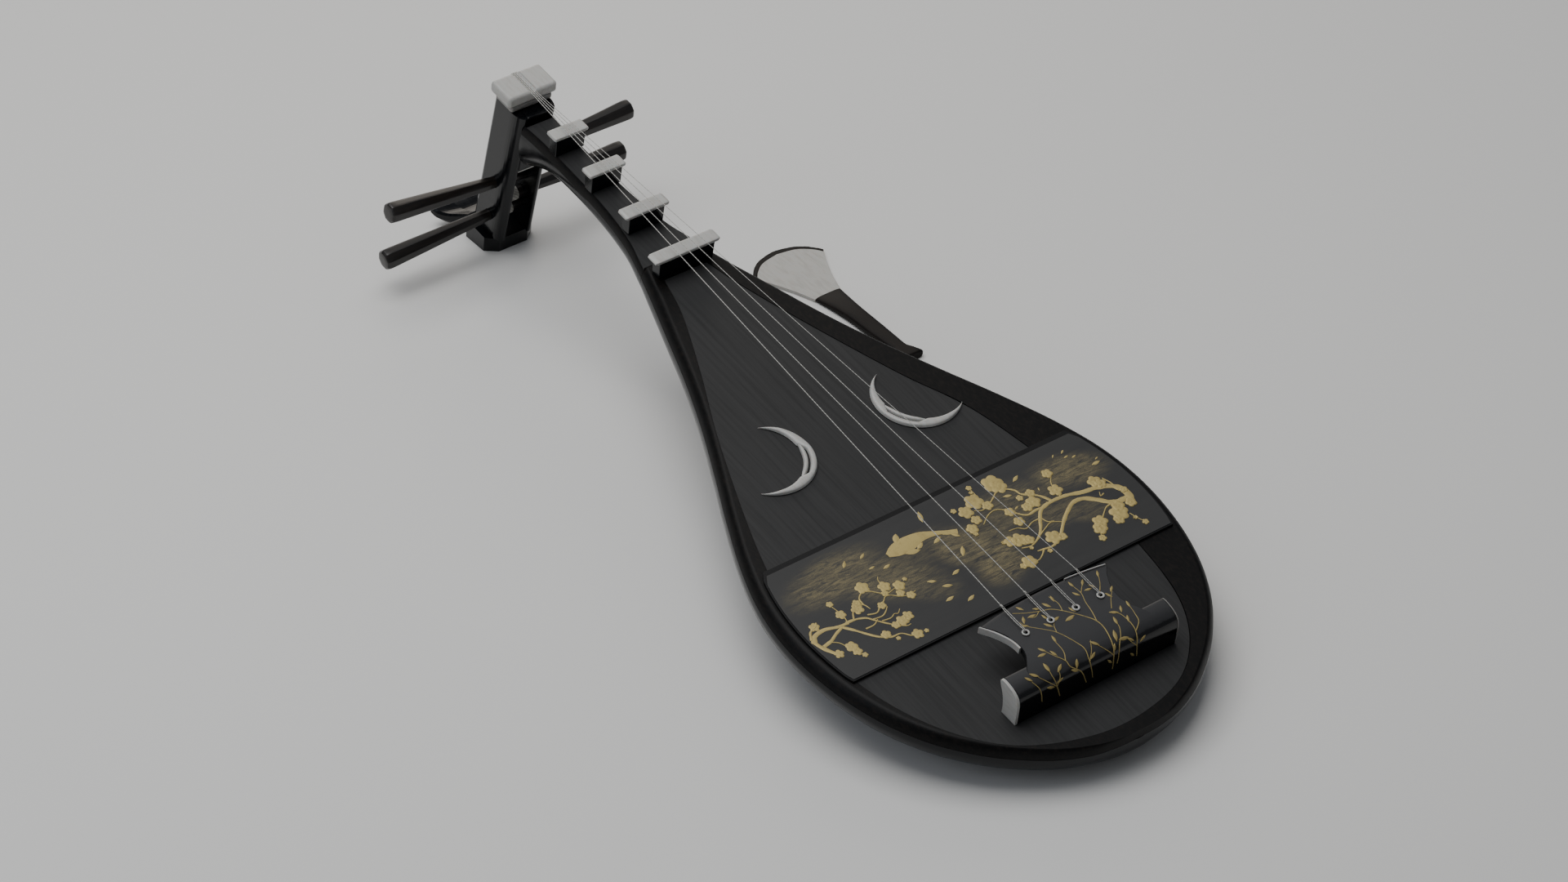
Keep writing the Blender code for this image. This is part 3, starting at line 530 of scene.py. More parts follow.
# Body and neck
body = {
    "stations": [  # y, half width, depth
        (-54.0, 10.0, 20.0), (-53.0, 24.0, 23.5), (-49.0, 45.0, 28.5), (-37.0, 73.0, 35.5),
        (-17.0, 102.0, 41.5),
        (4.0, 124.0, 46.5), (30.0, 144.0, 51.5), (64.0, 161.0, 56.5), (105.0, 172.5, 60.5),
        (150.0, 177.0, 63.5),
        (195.0, 173.0, 64.5), (240.0, 160.0, 64.0), (290.0, 139.0, 61.5), (340.0, 115.5, 57.5),
        (390.0, 93.0, 52.5),
        (440.0, 73.5, 47.0), (490.0, 56.5, 42.0), (530.0, 43.0, 38.5), (560.0, 33.0, 35.5),
    ],
    "neck": [
        (560.3, 33.0, 35.5), (600.0, 22.5, 32.0), (650.0, 17.0, 29.0), (700.0, 15.8, 29.0),
        (730.0, 15.8, 34.0), (750.0, 16.5, 46.0), (762.0, 17.5, 56.0),
    ],
    "edgeRound": 9.5 * mm,
    "edgeDrop": 15 * mm,
    "rim": 9 * mm,
    "wall": 7 * mm,
    "solidEnds": (-44 * mm, 505 * mm),  # beyond these the shell is nearly solid
    "leanFrom": 735 * mm,  # from here the neck's end leans with the pegbox
    "neckEdge": 9 * mm,
    "facing": (561, 199, 3.2),  # where it starts, how long it is and how far inside the neck's edge, in mm
    "boardBass": [
        (-23, 541), (-34, 500), (-60, 438), (-99, 353), (-144, 233),
        (-159, 150), (-152, 80), (-127, 22), (-86, -20), (-20, -42),
    ],
    "boardTreble": [
        (46, -35), (87, -8), (113, 36), (123, 97), (124, 160), (114, 237), (101, 295), (79, 347),
        (50, 431), (29, 500), (20, 541),
    ],
    "boardSink": 0.5 * mm,
}
bodyLine = [p * mm for p in smoothLine(body["stations"], 6)]
neckLine = [p * mm for p in smoothLine(body["neck"], 8)]
floorUnder = -toWorld.translation.z / cos(lie["tilt"])  # the floor's height at y = 0


def floorAt(y):
    return floorUnder - tan(lie["tilt"]) * y


def turnAt(depth, z):
    # where a height lies on the section: 0 to 1 round the top edge, 1 to 2 down the side
    drop = min(body["edgeDrop"], 0.4 * depth)
    if z > -drop:
        return acos(max(-1, 1 + z / drop)) / (pi / 2)
    return 1 + asin(min(1, (-z - drop) / (depth - drop))) / (pi / 2)


def sectionLine(half, depth, first, last, count):
    rounded, drop = min(body["edgeRound"], 0.22 * half), min(body["edgeDrop"], 0.4 * depth)
    found = []
    for i in range(count + 1):
        turn = (first + (last - first) * i / count) * pi / 2
        if turn <= pi / 2:
            found.append((half - rounded * (1 - sin(turn)), -drop * (1 - cos(turn))))
        else:
            turn -= pi / 2
            found.append((half * cos(turn), -drop - (depth - drop) * sin(turn)))
    return found


def mirrored(side, y):
    return [(x, y, z) for x, z in side] + [(-x, y, z) for x, z in side[::-1]]


def boardEdge(grow=0.0):
    edge = smoothLine(body["boardBass"] + body["boardTreble"], 8)
    found = []
    for i, point in enumerate(edge):
        run = (edge[min(i + 1, len(edge) - 1)] - edge[max(i - 1, 0)]).normalized()
        found.append([point.x * mm + run.y * grow, point.y * mm - run.x * grow])
    found[0][1] = found[-1][1] = body["boardBass"][0][1] * mm + grow
    return found


def makeBody():
    top = -body["rim"] - gap
    rings = []
    for y, half, depth in bodyLine:
        outer = sectionLine(half, depth, turnAt(depth, top), 2, 20)
        closed = not body["solidEnds"][0] <= y <= body["solidEnds"][1]
        innerHalf = max(half - body["wall"], 0.4 * half)
        innerDepth = 10 * mm if closed else depth - body["wall"]
        turns = [pi / 2 * i / 12 for i in range(13)]
        inner = [(innerHalf * cos(t), top - (innerDepth + top) * sin(t)) for t in turns]
        rings.append(mirrored(outer[:-1], y) + mirrored(inner[:-1], y)[::-1])
    shell = addLoft(bmesh.new(), rings)
    for vert in shell.verts:  # nothing goes below the floor
        vert.co.z = max(vert.co.z, floorAt(vert.co.y) + 0.02 * mm)
    layPiece("back_shell", shell, urushi)

    rings = []
    for y, half, depth in bodyLine:
        rings.append(mirrored(sectionLine(half, depth, 0, turnAt(depth, -body["rim"]), 9), y))
    rim = carve(addLoft(bmesh.new(), rings), slab(boardEdge(gap), -20 * mm, 20 * mm))
    layPiece("rim", rim, edgeWood)
    board = slab(boardEdge(), -body["rim"], -body["boardSink"], 0.3 * mm, 1)
    layPiece("soundboard", board, boardWood)


def makeNeck():
    upper, lower = [], []
    for y, half, depth in neckLine:
        turn = turnAt(depth, -body["neckEdge"])
        under = sectionLine(half, depth, turn, 2, 16)[:-1] + [(0.001 * mm, -depth)]
        share = max(0, (y - body["leanFrom"]) / (lie["pegboxFront"] - body["leanFrom"]))
        for side, rings in ((sectionLine(half, depth, 0, turn, 9), upper), (under, lower)):
            rings.append([(x, y - share * (gap + lie["pegLean"] * z), z) for x, y, z in mirrored(side, y)])
    start, long, inset = body["facing"]
    facing = []
    for i in range(25):
        y = (start + long * i / 24) * mm
        facing.append((halfAt(neckLine, y) - inset * mm, y))
    pocket = [(facing[0][0] + gap, facing[0][1] - gap)] + [(x + gap, y) for x, y in facing]
    pocket.append((facing[-1][0] + gap, facing[-1][1] + 20 * mm))
    edge = carve(addLoft(bmesh.new(), upper), slab(both(pocket), -3.3 * mm, 10 * mm))
    layPiece("neck_edge", edge, edgeWood, replaced=["neck"])
    layPiece("neck", addLoft(bmesh.new(), lower), urushi)
    plate = slab(both(facing), -3.0 * mm, -0.2 * mm, 0.3 * mm, 1)
    layPiece("neck_facing", plate, boardWood)


makeBody()
makeNeck()
print("body and neck made")


# Raised gold: ribbons and blossoms laid on a surface that place(u, v, height) gives
def addRibbon(bm, path, width, height, place):
    path = [Vector(p) for p in path]
    rings = []
    for i, point in enumerate(path):
        run = (path[min(i + 1, len(path) - 1)] - path[max(i - 1, 0)]).normalized()
        reach = width(i / (len(path) - 1))
        rise = height * min(1, reach / (0.5 * mm))
        row = [
            (-1, -0.15 * mm), (-1, 0.2 * rise), (-0.6, 0.8 * rise), (0, rise),
            (0.6, 0.8 * rise), (1, 0.2 * rise), (1, -0.15 * mm),
        ]
        rings.append([place(point.x + run.y * reach * a, point.y - run.x * reach * a, h) for a, h in row])
    addLoft(bm, rings)


def addBranch(bm, path, thick, thin, height, place):
    line = smoothLine([(x * mm, y * mm) for x, y in path], 7)
    knots = [noise.noise(Vector((p.x / (5 * mm), p.y / (5 * mm), 3.7))) for p in line]
    addRibbon(
        bm, line,
        lambda t: (thick + (thin - thick) * t) * mm * (1 + 0.35 * knots[round(t * (len(line) - 1))]),
        height, place,
    )


def addLeaf(bm, x, y, turn, long, wide, height, place):
    run = Vector((cos(radians(turn)), sin(radians(turn))))
    path = [Vector((x, y)) * mm + run * (long * mm * (i / 10 - 0.5)) for i in range(11)]
    addRibbon(bm, path, lambda t: wide / 2 * mm * max(0.06, sin(pi * t) ** 0.85), height, place)


def addBlossom(bm, x, y, radius, turn, height, place):
    rings = []
    for share, rise in ((1, -0.5), (1, 0.25), (0.88, 0.85), (0.55, 0.8), (0.25, 0.5), (0.1, 0.9)):
        ring = []
        for i in range(40):
            angle = 2 * pi * i / 40
            lobe = 0.70 + 0.30 * abs(cos(2.5 * (angle - turn))) ** 0.6 * (1 if share > 0.3 else 0.4)
            reach = radius * mm * share * lobe
            ring.append(place(x * mm + reach * cos(angle), y * mm + reach * sin(angle), rise * height))
        rings.append(ring)
    addLoft(bm, rings)


band = {
    "low": 98 * mm,
    "high": 226 * mm,
    "top": gap + 2.4 * mm,
    "relief": 0.35 * mm,
    "headBorder": 5.0 * mm,
    "border": 1.4 * mm,
    "inset": 1.5 * mm,  # the panel stops short of the body's rounded edge
    "corner": 2.5 * mm,
    "trunk": (0.62, 0.55),  # how heavy the branches are drawn at their roots and tips
    "paintingFit": 0.975,  # draws the painting in from the ends of the panel
}
# the painting: plum branches from both ends, a fish between them and petals on the water; millimetres
plumBranches = [  # thickness at the root and tip, then the way it grows
    (3.4, 2.2, [(-166, 144), (-162, 150), (-151, 152), (-140, 149), (-130, 148)]),
    (2.6, 2.0, [(-162, 138), (-153, 140), (-145, 144), (-137, 147)]),
    (2.8, 3.4, [(-166, 147), (-164, 139), (-160, 131), (-156, 125)]),
    (2.3, 0.9, [(-137, 147), (-131, 140), (-125, 132), (-118, 124), (-110, 119), (-101, 118), (-95, 112),
        (-88, 111)]),
    (2.0, 0.7, [(-132, 149), (-123, 148), (-115, 145), (-110, 139), (-104, 132), (-98, 126), (-92, 122),
        (-88, 122)]),
    (1.2, 0.8, [(-111, 141), (-103, 140), (-98, 142), (-93, 146)]),
    (1.1, 0.7, [(-106, 136), (-98, 135), (-93, 137), (-90, 136), (-86, 139)]),
    (1.3, 1.0, [(-122, 136), (-114, 136), (-108, 139)]),
    (1.4, 0.9, [(-124, 149), (-120, 155), (-114, 160), (-108, 157), (-106, 151)]),
    (1.2, 0.8, [(-108, 157), (-107, 164), (-101, 168), (-95, 166), (-90, 161), (-85, 157), (-77, 158),
        (-70, 160)]),
    (1.2, 0.7, [(-112, 147), (-104, 145), (-98, 149), (-92, 152), (-88, 155), (-83, 154), (-77, 149),
        (-70, 147), (-63, 148)]),
    (0.9, 0.7, [(-130, 150), (-129, 157), (-131, 168)]),
    (1.8, 1.2, [(-166, 148), (-162, 155), (-155, 158), (-152, 161)]),
    (1.0, 0.8, [(-154, 139), (-149, 135), (-146, 129)]),
    (0.9, 0.7, [(-83, 166), (-82, 172), (-80, 175)]),
    (5.4, 2.4, [(150, 133), (153, 142), (152, 150), (146, 157), (136, 161), (122, 163), (108, 167),
        (94, 168), (84, 166)]),
    (2.4, 1.1, [(84, 166), (76, 167), (67, 166), (61, 171), (57, 178)]),
    (4.2, 1.3, [(150, 140), (140, 140), (134, 143), (127, 150), (118, 157), (108, 158), (98, 153),
        (88, 146), (79, 138), (72, 132), (62, 129), (54, 130), (48, 131)]),
    (3.0, 1.0, [(90, 168), (80, 165), (73, 158), (67, 150), (61, 144), (54, 140), (47, 138), (39, 140)]),
    (2.2, 0.9, [(94, 168), (90, 176), (84, 182), (77, 187), (75, 193), (69, 198), (61, 199), (54, 195),
        (46, 191), (38, 189), (32, 192)]),
    (1.2, 0.8, [(59, 172), (54, 180), (47, 184), (38, 182), (29, 176)]),
    (1.2, 0.8, [(74, 158), (65, 158), (56, 155), (50, 159), (42, 160)]),
    (1.1, 0.8, [(60, 143), (69, 147), (78, 150), (86, 146)]),
    (1.2, 0.8, [(74, 157), (76, 152), (81, 150)]),
    (1.2, 0.8, [(54, 130), (49, 126), (43, 123), (36, 124)]),
    (1.2, 0.8, [(149, 150), (149, 159), (146, 167)]),
    (1.0, 0.7, [(136, 153), (132, 152), (134, 156)]),
    (1.4, 1.0, [(135, 141), (128, 140), (122, 136), (117, 132)]),
    (1.0, 0.7, [(103, 168), (104, 176), (106, 184), (111, 190)]),
    (0.9, 0.6, [(108, 124), (104, 118), (103, 115)]),
    (0.9, 0.6, [(140, 125), (142, 118), (145, 112)]),
    (0.9, 0.6, [(43, 198), (44, 206), (44, 213)]),
]
plumBlossoms = [  # x, y, radius
    (-156, 126, 4.4), (-156, 158, 4.6), (-143, 127, 5.4), (-142, 121, 4.4), (-139, 115, 2.7),
    (-130, 158, 4.6),
    (-131, 171, 3.2), (-115, 156, 5.6), (-112, 161, 4.0), (-98, 172, 6.2), (-82, 164, 5.6), (-86, 158, 3.4),
    (-71, 159, 5.4), (-63, 162, 2.2), (-75, 152, 4.0), (-69, 146, 4.2), (-96, 149, 4.0), (-92, 128, 5.6),
    (-85, 130, 5.0), (-99, 127, 4.0), (-112, 123, 4.6), (-90, 111, 5.2), (-82, 110, 2.2), (-106, 115, 2.2),
    (64, 208, 9.6), (66, 203, 7.6), (38, 200, 8.4), (45, 191, 5.2), (25, 194, 6.8), (17, 200, 2.8),
    (44, 214, 2.8),
    (42, 209, 1.9), (84, 184, 4.6), (73, 184, 3.4), (80, 175, 6.6), (72, 173, 5.2), (104, 176, 6.6),
    (110, 194, 5.2),
    (56, 176, 5.0), (56, 164, 5.2), (27, 183, 5.0), (18, 177, 5.6), (17, 171, 2.4), (43, 148, 7.4),
    (36, 150, 6.0),
    (50, 144, 5.2), (30, 152, 2.2), (46, 136, 2.0), (35, 125, 7.0), (28, 124, 3.4), (69, 136, 7.6),
    (76, 133, 4.2),
    (57, 126, 2.4), (138, 167, 6.6), (141, 163, 5.6), (133, 130, 8.6), (128, 124, 5.2), (137, 136, 6.2),
    (113, 130, 7.0), (108, 124, 6.6), (103, 115, 3.6), (141, 119, 2.2), (145, 111, 3.1), (149, 134, 5.2),
    (153, 148, 3.8),
]
petals = [  # x, y, turn, length
    (-10, 209, 70, 12), (-14, 182, 20, 10), (-4, 162, 55, 11), (-95, 199, 48, 8), (-77, 199, 30, 7),
    (-78, 185, 5, 6),
    (-67, 180, 10, 8), (-46, 149, -25, 8), (-23, 147, 14, 9), (-38, 139, -22, 9), (-45, 127, 8, 9),
    (-30, 119, 18, 9),
    (84, 203, 25, 9), (66, 191, -15, 8), (127, 207, 42, 4), (137, 207, 32, 5), (136, 201, 10, 5),
    (142, 198, 12, 5),
    (157, 187, 20, 4), (153, 183, 2, 9), (93, 184, 70, 4), (64, 177, 20, 5),
]
fish = {  # a plain fish seen from above: its back line, its half width along it, and its fins
    "back": [(-59, 189), (-50, 190), (-38, 191), (-24, 192), (-12, 189), (-2, 185), (6, 181)],
    "half": [2.2, 6.4, 7.6, 5.0, 2.6, 1.8, 2.8],
    "fins": [(-42, 200, 55, 11, 5.5), (-39, 182, -12, 14, 5.0), (-30, 184, 25, 9, 3.6),
        (-1, 183, -15, 12, 3.0), (2, 179, -50, 9, 2.6)],
}


def onBand(x, y, height):
    return (x * band["paintingFit"], y, band["top"] + height)


def makeBand():
    def outline(inset, headInset):
        low, high = band["low"] + inset, band["high"] - headInset
        side = []
        for i in range(17):
            y = low + (high - low) * i / 16
            side.append((halfAt(bodyLine, y) - body["edgeRound"] - band["inset"] - inset, y))
        side[0] = (side[0][0] - band["corner"] * 0.3, side[0][1])
        side[-1] = (side[-1][0] - band["corner"], side[-1][1])
        return both(side)

    base = slab(outline(0, 0), gap, band["top"] - 0.5 * mm, 0.3 * mm)
    layPiece("band_border", base, borderLacquer, replaced=["painted_band"])
    panel = slab(outline(band["border"], band["headBorder"]), gap + 0.5 * mm, band["top"], 0.35 * mm)
    layPiece("painted_band", panel, bandWood)

    painting = bmesh.new()
    root, tip = band["trunk"]
    for number, (thick, thin, path) in enumerate(plumBranches):  # each a hair higher, so that none share a face
        addBranch(painting, path, thick * root, thin * tip, band["relief"] + number * 0.004 * mm, onBand)
    for number, (x, y, radius) in enumerate(plumBlossoms):
        height = band["relief"] + (8 + number) * 0.006 * mm
        addBlossom(painting, x, y, radius, radians(137.5 * number), height, onBand)
    for number, (x, y, turn, long) in enumerate(petals):
        addLeaf(painting, x, y, turn, long, 0.34 * long, band["relief"] * 0.8, onBand)
    back = smoothLine([(x * mm, y * mm) for x, y in fish["back"]], 6)
    half = smoothLine([(i, h * mm) for i, h in enumerate(fish["half"])], 6)
    addRibbon(painting, back, lambda t: half[round(t * (len(half) - 1))].y, band["relief"] * 1.5, onBand)
    for x, y, turn, long, wide in fish["fins"]:
        addLeaf(painting, x, y, turn, long, wide, band["relief"] * 0.9, onBand)
    layPiece("gold_painting", painting, gold, sharp=60, weighted=False, replaced=())


makeBand()
print("painted band made")

# Bridge
bridge = {
    "barHalf": 78 * mm,
    "bar": [  # y and z round one end of the bar, from its rear foot over the top to its front foot
        (0, 0.3), (0, 7), (0.2, 14), (0.8, 20), (3.0, 26.2), (8.5, 29.8), (15.0, 31.4), (20.5, 31.6),
        (23.0, 30.0), (22.0, 26.0), (18.6, 19.0), (16.6, 11.0), (16.0, 5.0), (16.0, 0.3),
    ],
    "barMiddle": (10 * mm, 16 * mm),  # the ends are drawn in towards this y and z
    "plateHalf": [  # half width and y of the plate's waist
        (61.0, 12.0), (59.0, 18.5), (55.0, 24.0), (51.0, 30.0), (49.0, 38.0), (50.0, 48.0), (55.0, 60.0),
        (62.5, 71.2),
    ],
    "plateLow": 27.2 * mm,
    "plateTop": 33.0 * mm,
    "front": (76.5 * mm, 5.5 * mm, 63 * mm),  # y of the middle, how far it falls back, and at what x
    "spring": (12 * mm, 24 * mm, 2.6 * mm),  # where the plate's curve starts, its length and its drop
    "eyeletY": 48 * mm,
    "eyelet": (2.5 * mm, 0.82 * mm, 0.5 * mm, 0.7 * mm),  # radius, half width, height of the middle, half height
    "hole": 1.9 * mm,
}
strings = [  # x at the bridge, x at the nut, radius, in the order of the pegs
    (37.0, 2.4, 0.25), (-37.0, -2.4, 0.34), (12.5, 0.8, 0.28), (-12.5, -0.8, 0.31),
]
bridgeStems = [  # x, then the way over the rear face, the top and the plate; millimetres
    (0.65, [(-38, 8), (-42, 20), (-44, 29), (-44, 34)]), (0.5, [(-42, 20), (-50, 28), (-55, 34)]),
    (0.5, [(-42, 20), (-38, 27), (-37, 31)]), (0.6, [(-56, 12), (-58, 24), (-62, 33)]),
    (0.6, [(-12, 8), (-18, 22), (-26, 30), (-27, 36), (-32, 44), (-36, 51)]), (0.55, [(-27, 36),
        (-23, 44), (-23, 56)]),
    (0.55, [(-6, 10), (-9, 26), (-7, 38), (-10, 48), (-16, 61), (-22, 68), (-32, 78), (-34, 84)]),
    (0.5, [(-16, 61), (-13, 68), (-8, 72)]), (0.5, [(-9, 27), (-3, 34), (2, 42)]),
    (0.7, [(14, 8), (14, 22), (17, 36), (19, 46), (18, 54), (14, 61), (8, 69), (2, 76), (-5, 82),
        (-14, 85), (-24, 89), (-33, 94)]),
    (0.5, [(2, 76), (4, 84), (2, 93)]), (0.5, [(-14, 85), (-20, 82), (-25, 84)]), (0.5, [(14, 22),
        (8, 30), (4, 36)]),
    (0.55, [(18, 54), (21, 64), (23, 74), (26, 83), (25, 93)]), (0.5, [(26, 83), (30, 87), (34, 91)]),
    (0.6, [(18, 12), (20, 26), (26, 34), (30, 41), (31, 47)]),
    (0.65, [(38, 9), (37, 22), (40, 34), (40, 44), (38, 51), (34, 54)]), (0.55, [(40, 32), (47, 38),
        (49, 46), (50, 54)]),
    (0.5, [(36, 58), (42, 66), (48, 72)]), (0.5, [(40, 77), (45, 83), (50, 91)]), (0.5, [(37, 20),
        (32, 26), (29, 31)]),
]
bridgeLeaves = [  # x, way over, turn, length
    (-44, 38, 90, 8), (-57, 37, 135, 7), (-35, 33, 35, 7), (-39, 24, 20, 6), (-48, 22, 160, 7),
    (-63, 36, 125, 6),
    (-20, 30, 60, 7), (-40, 49, 175, 7), (-31, 46, 110, 6), (-37, 53, 125, 6), (-22, 57, 85, 6),
    (-24, 26, 150, 6),
    (-17, 70, 125, 7), (-8, 72, 10, 7), (-14, 78, 105, 6), (-30, 84, 60, 7), (-33, 79, 150, 6),
    (-4, 30, 30, 6),
    (2, 67, 8, 9), (9, 73, 110, 6), (-5, 87, 120, 7), (-22, 84, 175, 7), (-25, 95, 120, 6),
    (3, 90, 80, 6), (-14, 88, 150, 6),
    (3, 38, 130, 7), (16, 28, 60, 6), (10, 18, 130, 6), (33, 83, 170, 6), (34, 91, 50, 6),
    (22, 84, 120, 6), (25, 94, 95, 6),
    (22, 36, 70, 9), (27, 31, -10, 8), (31, 47, 80, 7), (35, 54, 150, 7), (42, 54, 60, 6),
    (41, 44, 65, 6), (43, 24, 30, 6),
    (32, 28, 140, 6), (33, 13, 130, 6), (50, 55, 80, 6), (49, 74, 40, 6), (43, 70, 110, 6),
    (50, 92, 60, 6), (38, 84, 120, 6),
]


def frontEdge(x):
    middle, fall, reach = bridge["front"]
    return middle - fall * (x / reach) ** 2


def plateRise(y):
    # the plate springs from the bar in a long curve
    start, long, drop = bridge["spring"]
    return bridge["plateTop"] - drop * max(0, 1 - (y - start) / long) ** 2


def bridgeProfile():
    # the line that the painting follows: up the rear face, over the bar and along the plate
    line = [p * mm for p in smoothLine(bridge["bar"][:7], 8)]
    for i in range(1, 13):
        y = (15 + 1.75 * i) * mm
        line.append(Vector((y, max(31.5 * mm, plateRise(y)))))
    return [*line, Vector((90 * mm, bridge["plateTop"]))]


profileLine = bridgeProfile()


def onBridge(x, way, height):
    for a, b in zip(profileLine, profileLine[1:]):
        step = (b - a).length
        if way <= step or b is profileLine[-1]:
            run = (b - a) / step
            spot = a + run * way
            return (x, spot.x - run.y * height, spot.y + run.x * height)
        way -= step


barLine = [p * mm - Vector((0, body["boardSink"])) for p in smoothLine(bridge["bar"], 5)]


def barRings(places):
    # the bar's section at each x, drawn in by so much
    middle = Vector(bridge["barMiddle"])
    return [[(x, *(p + (middle - p).normalized() * inset)) for p in barLine] for x, inset in places]


def makeBridge():
    half, chamfer = bridge["barHalf"], 0.5 * mm
    ends = ((-half, chamfer), (chamfer - half, 0), (half - chamfer, 0), (half, chamfer))
    bar = addLoft(bmesh.new(), barRings(ends))

    waist = smoothLine(bridge["plateHalf"], 6)
    rear = waist[0].y * mm
    rings = []
    for i, point in enumerate(waist):
        half = point.x * mm
        share = (point.y - waist[0].y) / (waist[-1].y - waist[0].y)
        high = plateRise(point.y * mm) - (0.5 * mm if i == len(waist) - 1 else 0)
        low = bridge["plateLow"] - 2.0 * mm * max(0, 1 - share * 3)
        ring = []
        across = [-1 + 2 * j / 22 for j in range(23)]
        for s in across:
            x = s * (half - (0.4 * mm if i == len(waist) - 1 else 0))
            y = rear + (frontEdge(x) - rear) * share
            edge = 0.5 * mm if abs(s) == 1 else 0
            ring.append((x, y, high - edge))
            if abs(s) == 1:
                ring.append((x - s * 0.5 * mm, y, high))
        ring[-2:] = ring[:-3:-1]
        for s in (1, -1):
            ring.append((s * half, rear + (frontEdge(half) - rear) * share, low))
        rings.append(ring)
    whole = carve(bar, addLoft(bmesh.new(), rings), "UNION")
    for x in sorted((string[0] for string in strings), reverse=True):
        hole = bmesh.new()
        place = Matrix.Translation((x * mm, bridge["eyeletY"], bridge["plateTop"]))
        wide = bridge["hole"]
        bmesh.ops.create_cone(
            hole, cap_ends=True, segments=20, radius1=wide, radius2=wide, depth=30 * mm, matrix=place
        )
        whole = carve(whole, hole)
    layPiece("bridge", whole, bridgeLacquer, sharp=40)

    painting = bmesh.new()
    for number, (thick, path) in enumerate(bridgeStems):
        line = smoothLine([(x * mm, way * mm) for x, way in path], 9)
        addRibbon(painting, line, lambda t: thick * (0.80 - 0.35 * t) * mm, (0.22 + number * 0.004) * mm, onBridge)
    for number, (x, way, turn, long) in enumerate(bridgeLeaves):
        addLeaf(painting, x, way, turn, 1.15 * long, 0.36 * long, (0.26 + number * 0.003) * mm, onBridge)
    layPiece("gold_sprigs", painting, sprigGold, sharp=60, weighted=False, replaced=())

    for name, side, thick in (("bridge_end_bass", -1, 2.4), ("bridge_end_treble", 1, 0.9)):
        low, high = (side * (bridge["barHalf"] + gap), side * (bridge["barHalf"] + gap + thick * mm))
        edge = 0.35 * mm
        places = ((low, 0), (high - side * edge, 0), (high - side * 0.3 * edge, 0.3 * edge), (high, edge))
        layPiece(name, addLoft(bmesh.new(), barRings(places)), ivory if side < 0 else horn, sharp=40)

    strip = []
    for point in waist[24:]:
        x, y = -point.x * mm - gap, point.y * mm
        low, top = bridge["plateLow"], bridge["plateTop"]
        strip.append([
            (x, y, low), (x - 1.8 * mm, y, low), (x - 1.8 * mm, y, top),
            (x - 1.4 * mm, y, top + 0.4 * mm), (x - 0.4 * mm, y, top + 0.4 * mm), (x, y, top),
        ])
    layPiece("bridge_edge_bass", addLoft(bmesh.new(), strip), ivory, sharp=50)
    lip = [(x * mm, frontEdge(x * mm) + gap) for x in (24, 30, 36, 42, 48, 54, 61.5)]
    lip += [(x, y + 0.7 * mm) for x, y in lip[::-1]]
    layPiece("bridge_lip", slab(lip, 30 * mm, 33.6 * mm, 0.2 * mm), ivory)

    wide, half, middle, tall = bridge["eyelet"]
    for number, (x, _, _) in enumerate(strings, 1):
        rings = []
        for i in range(32):
            turn = 2 * pi * i / 32
            ring = []
            for j in range(12):  # a round bead, flattened where it sits
                bend = 2 * pi * j / 12
                reach, height = wide + half * cos(bend), max(0, middle + tall * sin(bend))
                spot = (x * mm + reach * cos(turn), bridge["eyeletY"] + reach * sin(turn))
                ring.append((*spot, bridge["plateTop"] + gap + height))
            rings.append(ring)
        layPiece(f"eyelet_{number}", addLoft(bmesh.new(), rings, True), ivory, sharp=60)


makeBridge()
print("bridge made")

# Crescents, frets and nut
crescent = {
    "centre": (73.8 * mm, 322.6 * mm),
    "radius": 38 * mm,
    "start": radians(111),
    "sweep": radians(205.5),
    "width": 11.2 * mm,
    "height": 2.8 * mm,
    "slit": (0.30, 0.68, 0.56),  # from, to, and how far across from the outer edge
    "slitHalf": 0.75 * mm,
}


def addBlade(bm, side, first, last, edges):
    # a domed strip along the arc; edges(t) gives its outer and inner edge across the crescent
    cx, cy = crescent["centre"]
    steps, rows = 64, 14
    rings = []
    for i in range(steps + 1):
        t = first + (last - first) * i / steps
        turn = crescent["start"] + crescent["sweep"] * t
        outer, inner = edges(t)
        width = max(0.2 * mm, inner - outer)
        high = min(crescent["height"], 0.4 * mm + width * 0.55)
        ring = []
        for j in range(rows + 1):
            share = j / rows
            reach = crescent["radius"] - outer - width * share
            ring.append((reach, gap + high * (1 - abs(2 * share - 1) ** 2.6) ** 0.5 + 0.05 * mm))
        ring += [(ring[-1][0], gap), (ring[0][0], gap)]
        rings.append([(side * (cx + r * cos(turn)), cy + r * sin(turn), z) for r, z in ring])
    addLoft(bm, rings)


def makeCrescents():
    # each is cut as two blades that part along a slit at its widest
    first, last, across = crescent["slit"]

    def fullWidth(t):
        return crescent["width"] * sin(pi * min(1, max(0, t)))

    def parted(t):
        return min(1, max(0, (t - first) * 14)) * min(1, max(0, (last - t) * 14))

    def outerBlade(t):
        split = across * fullWidth(t) - crescent["slitHalf"]
        return 0, fullWidth(t) + (split - fullWidth(t)) * parted(t)

    def innerBlade(t):
        split = across * fullWidth(t) + crescent["slitHalf"]
        return split + (1 - parted(t)) * 0.3 * mm, fullWidth(t) - (1 - parted(t)) * 1.2 * mm

    for name, side in (("crescent_bass", -1), ("crescent_treble", 1)):
        blades = bmesh.new()
        addBlade(blades, side, 0, 1, outerBlade)
        addBlade(blades, side, first - 0.03, last + 0.03, innerBlade)
        layPiece(name, blades, ivory, sharp=60)


frets = {  # y of the middle, half width of the block, half width of the cap
    "places": [(719.5, 15.0, 17.5), (665.0, 15.5, 18.7), (606.0, 18.0, 22.2), (547.5, 28.0, 32.8)],
    "top": 22 * mm,
    "capThick": 3.6 * mm,
    "capLong": 13.6 * mm,
    "blockLong": 11.2 * mm,
}


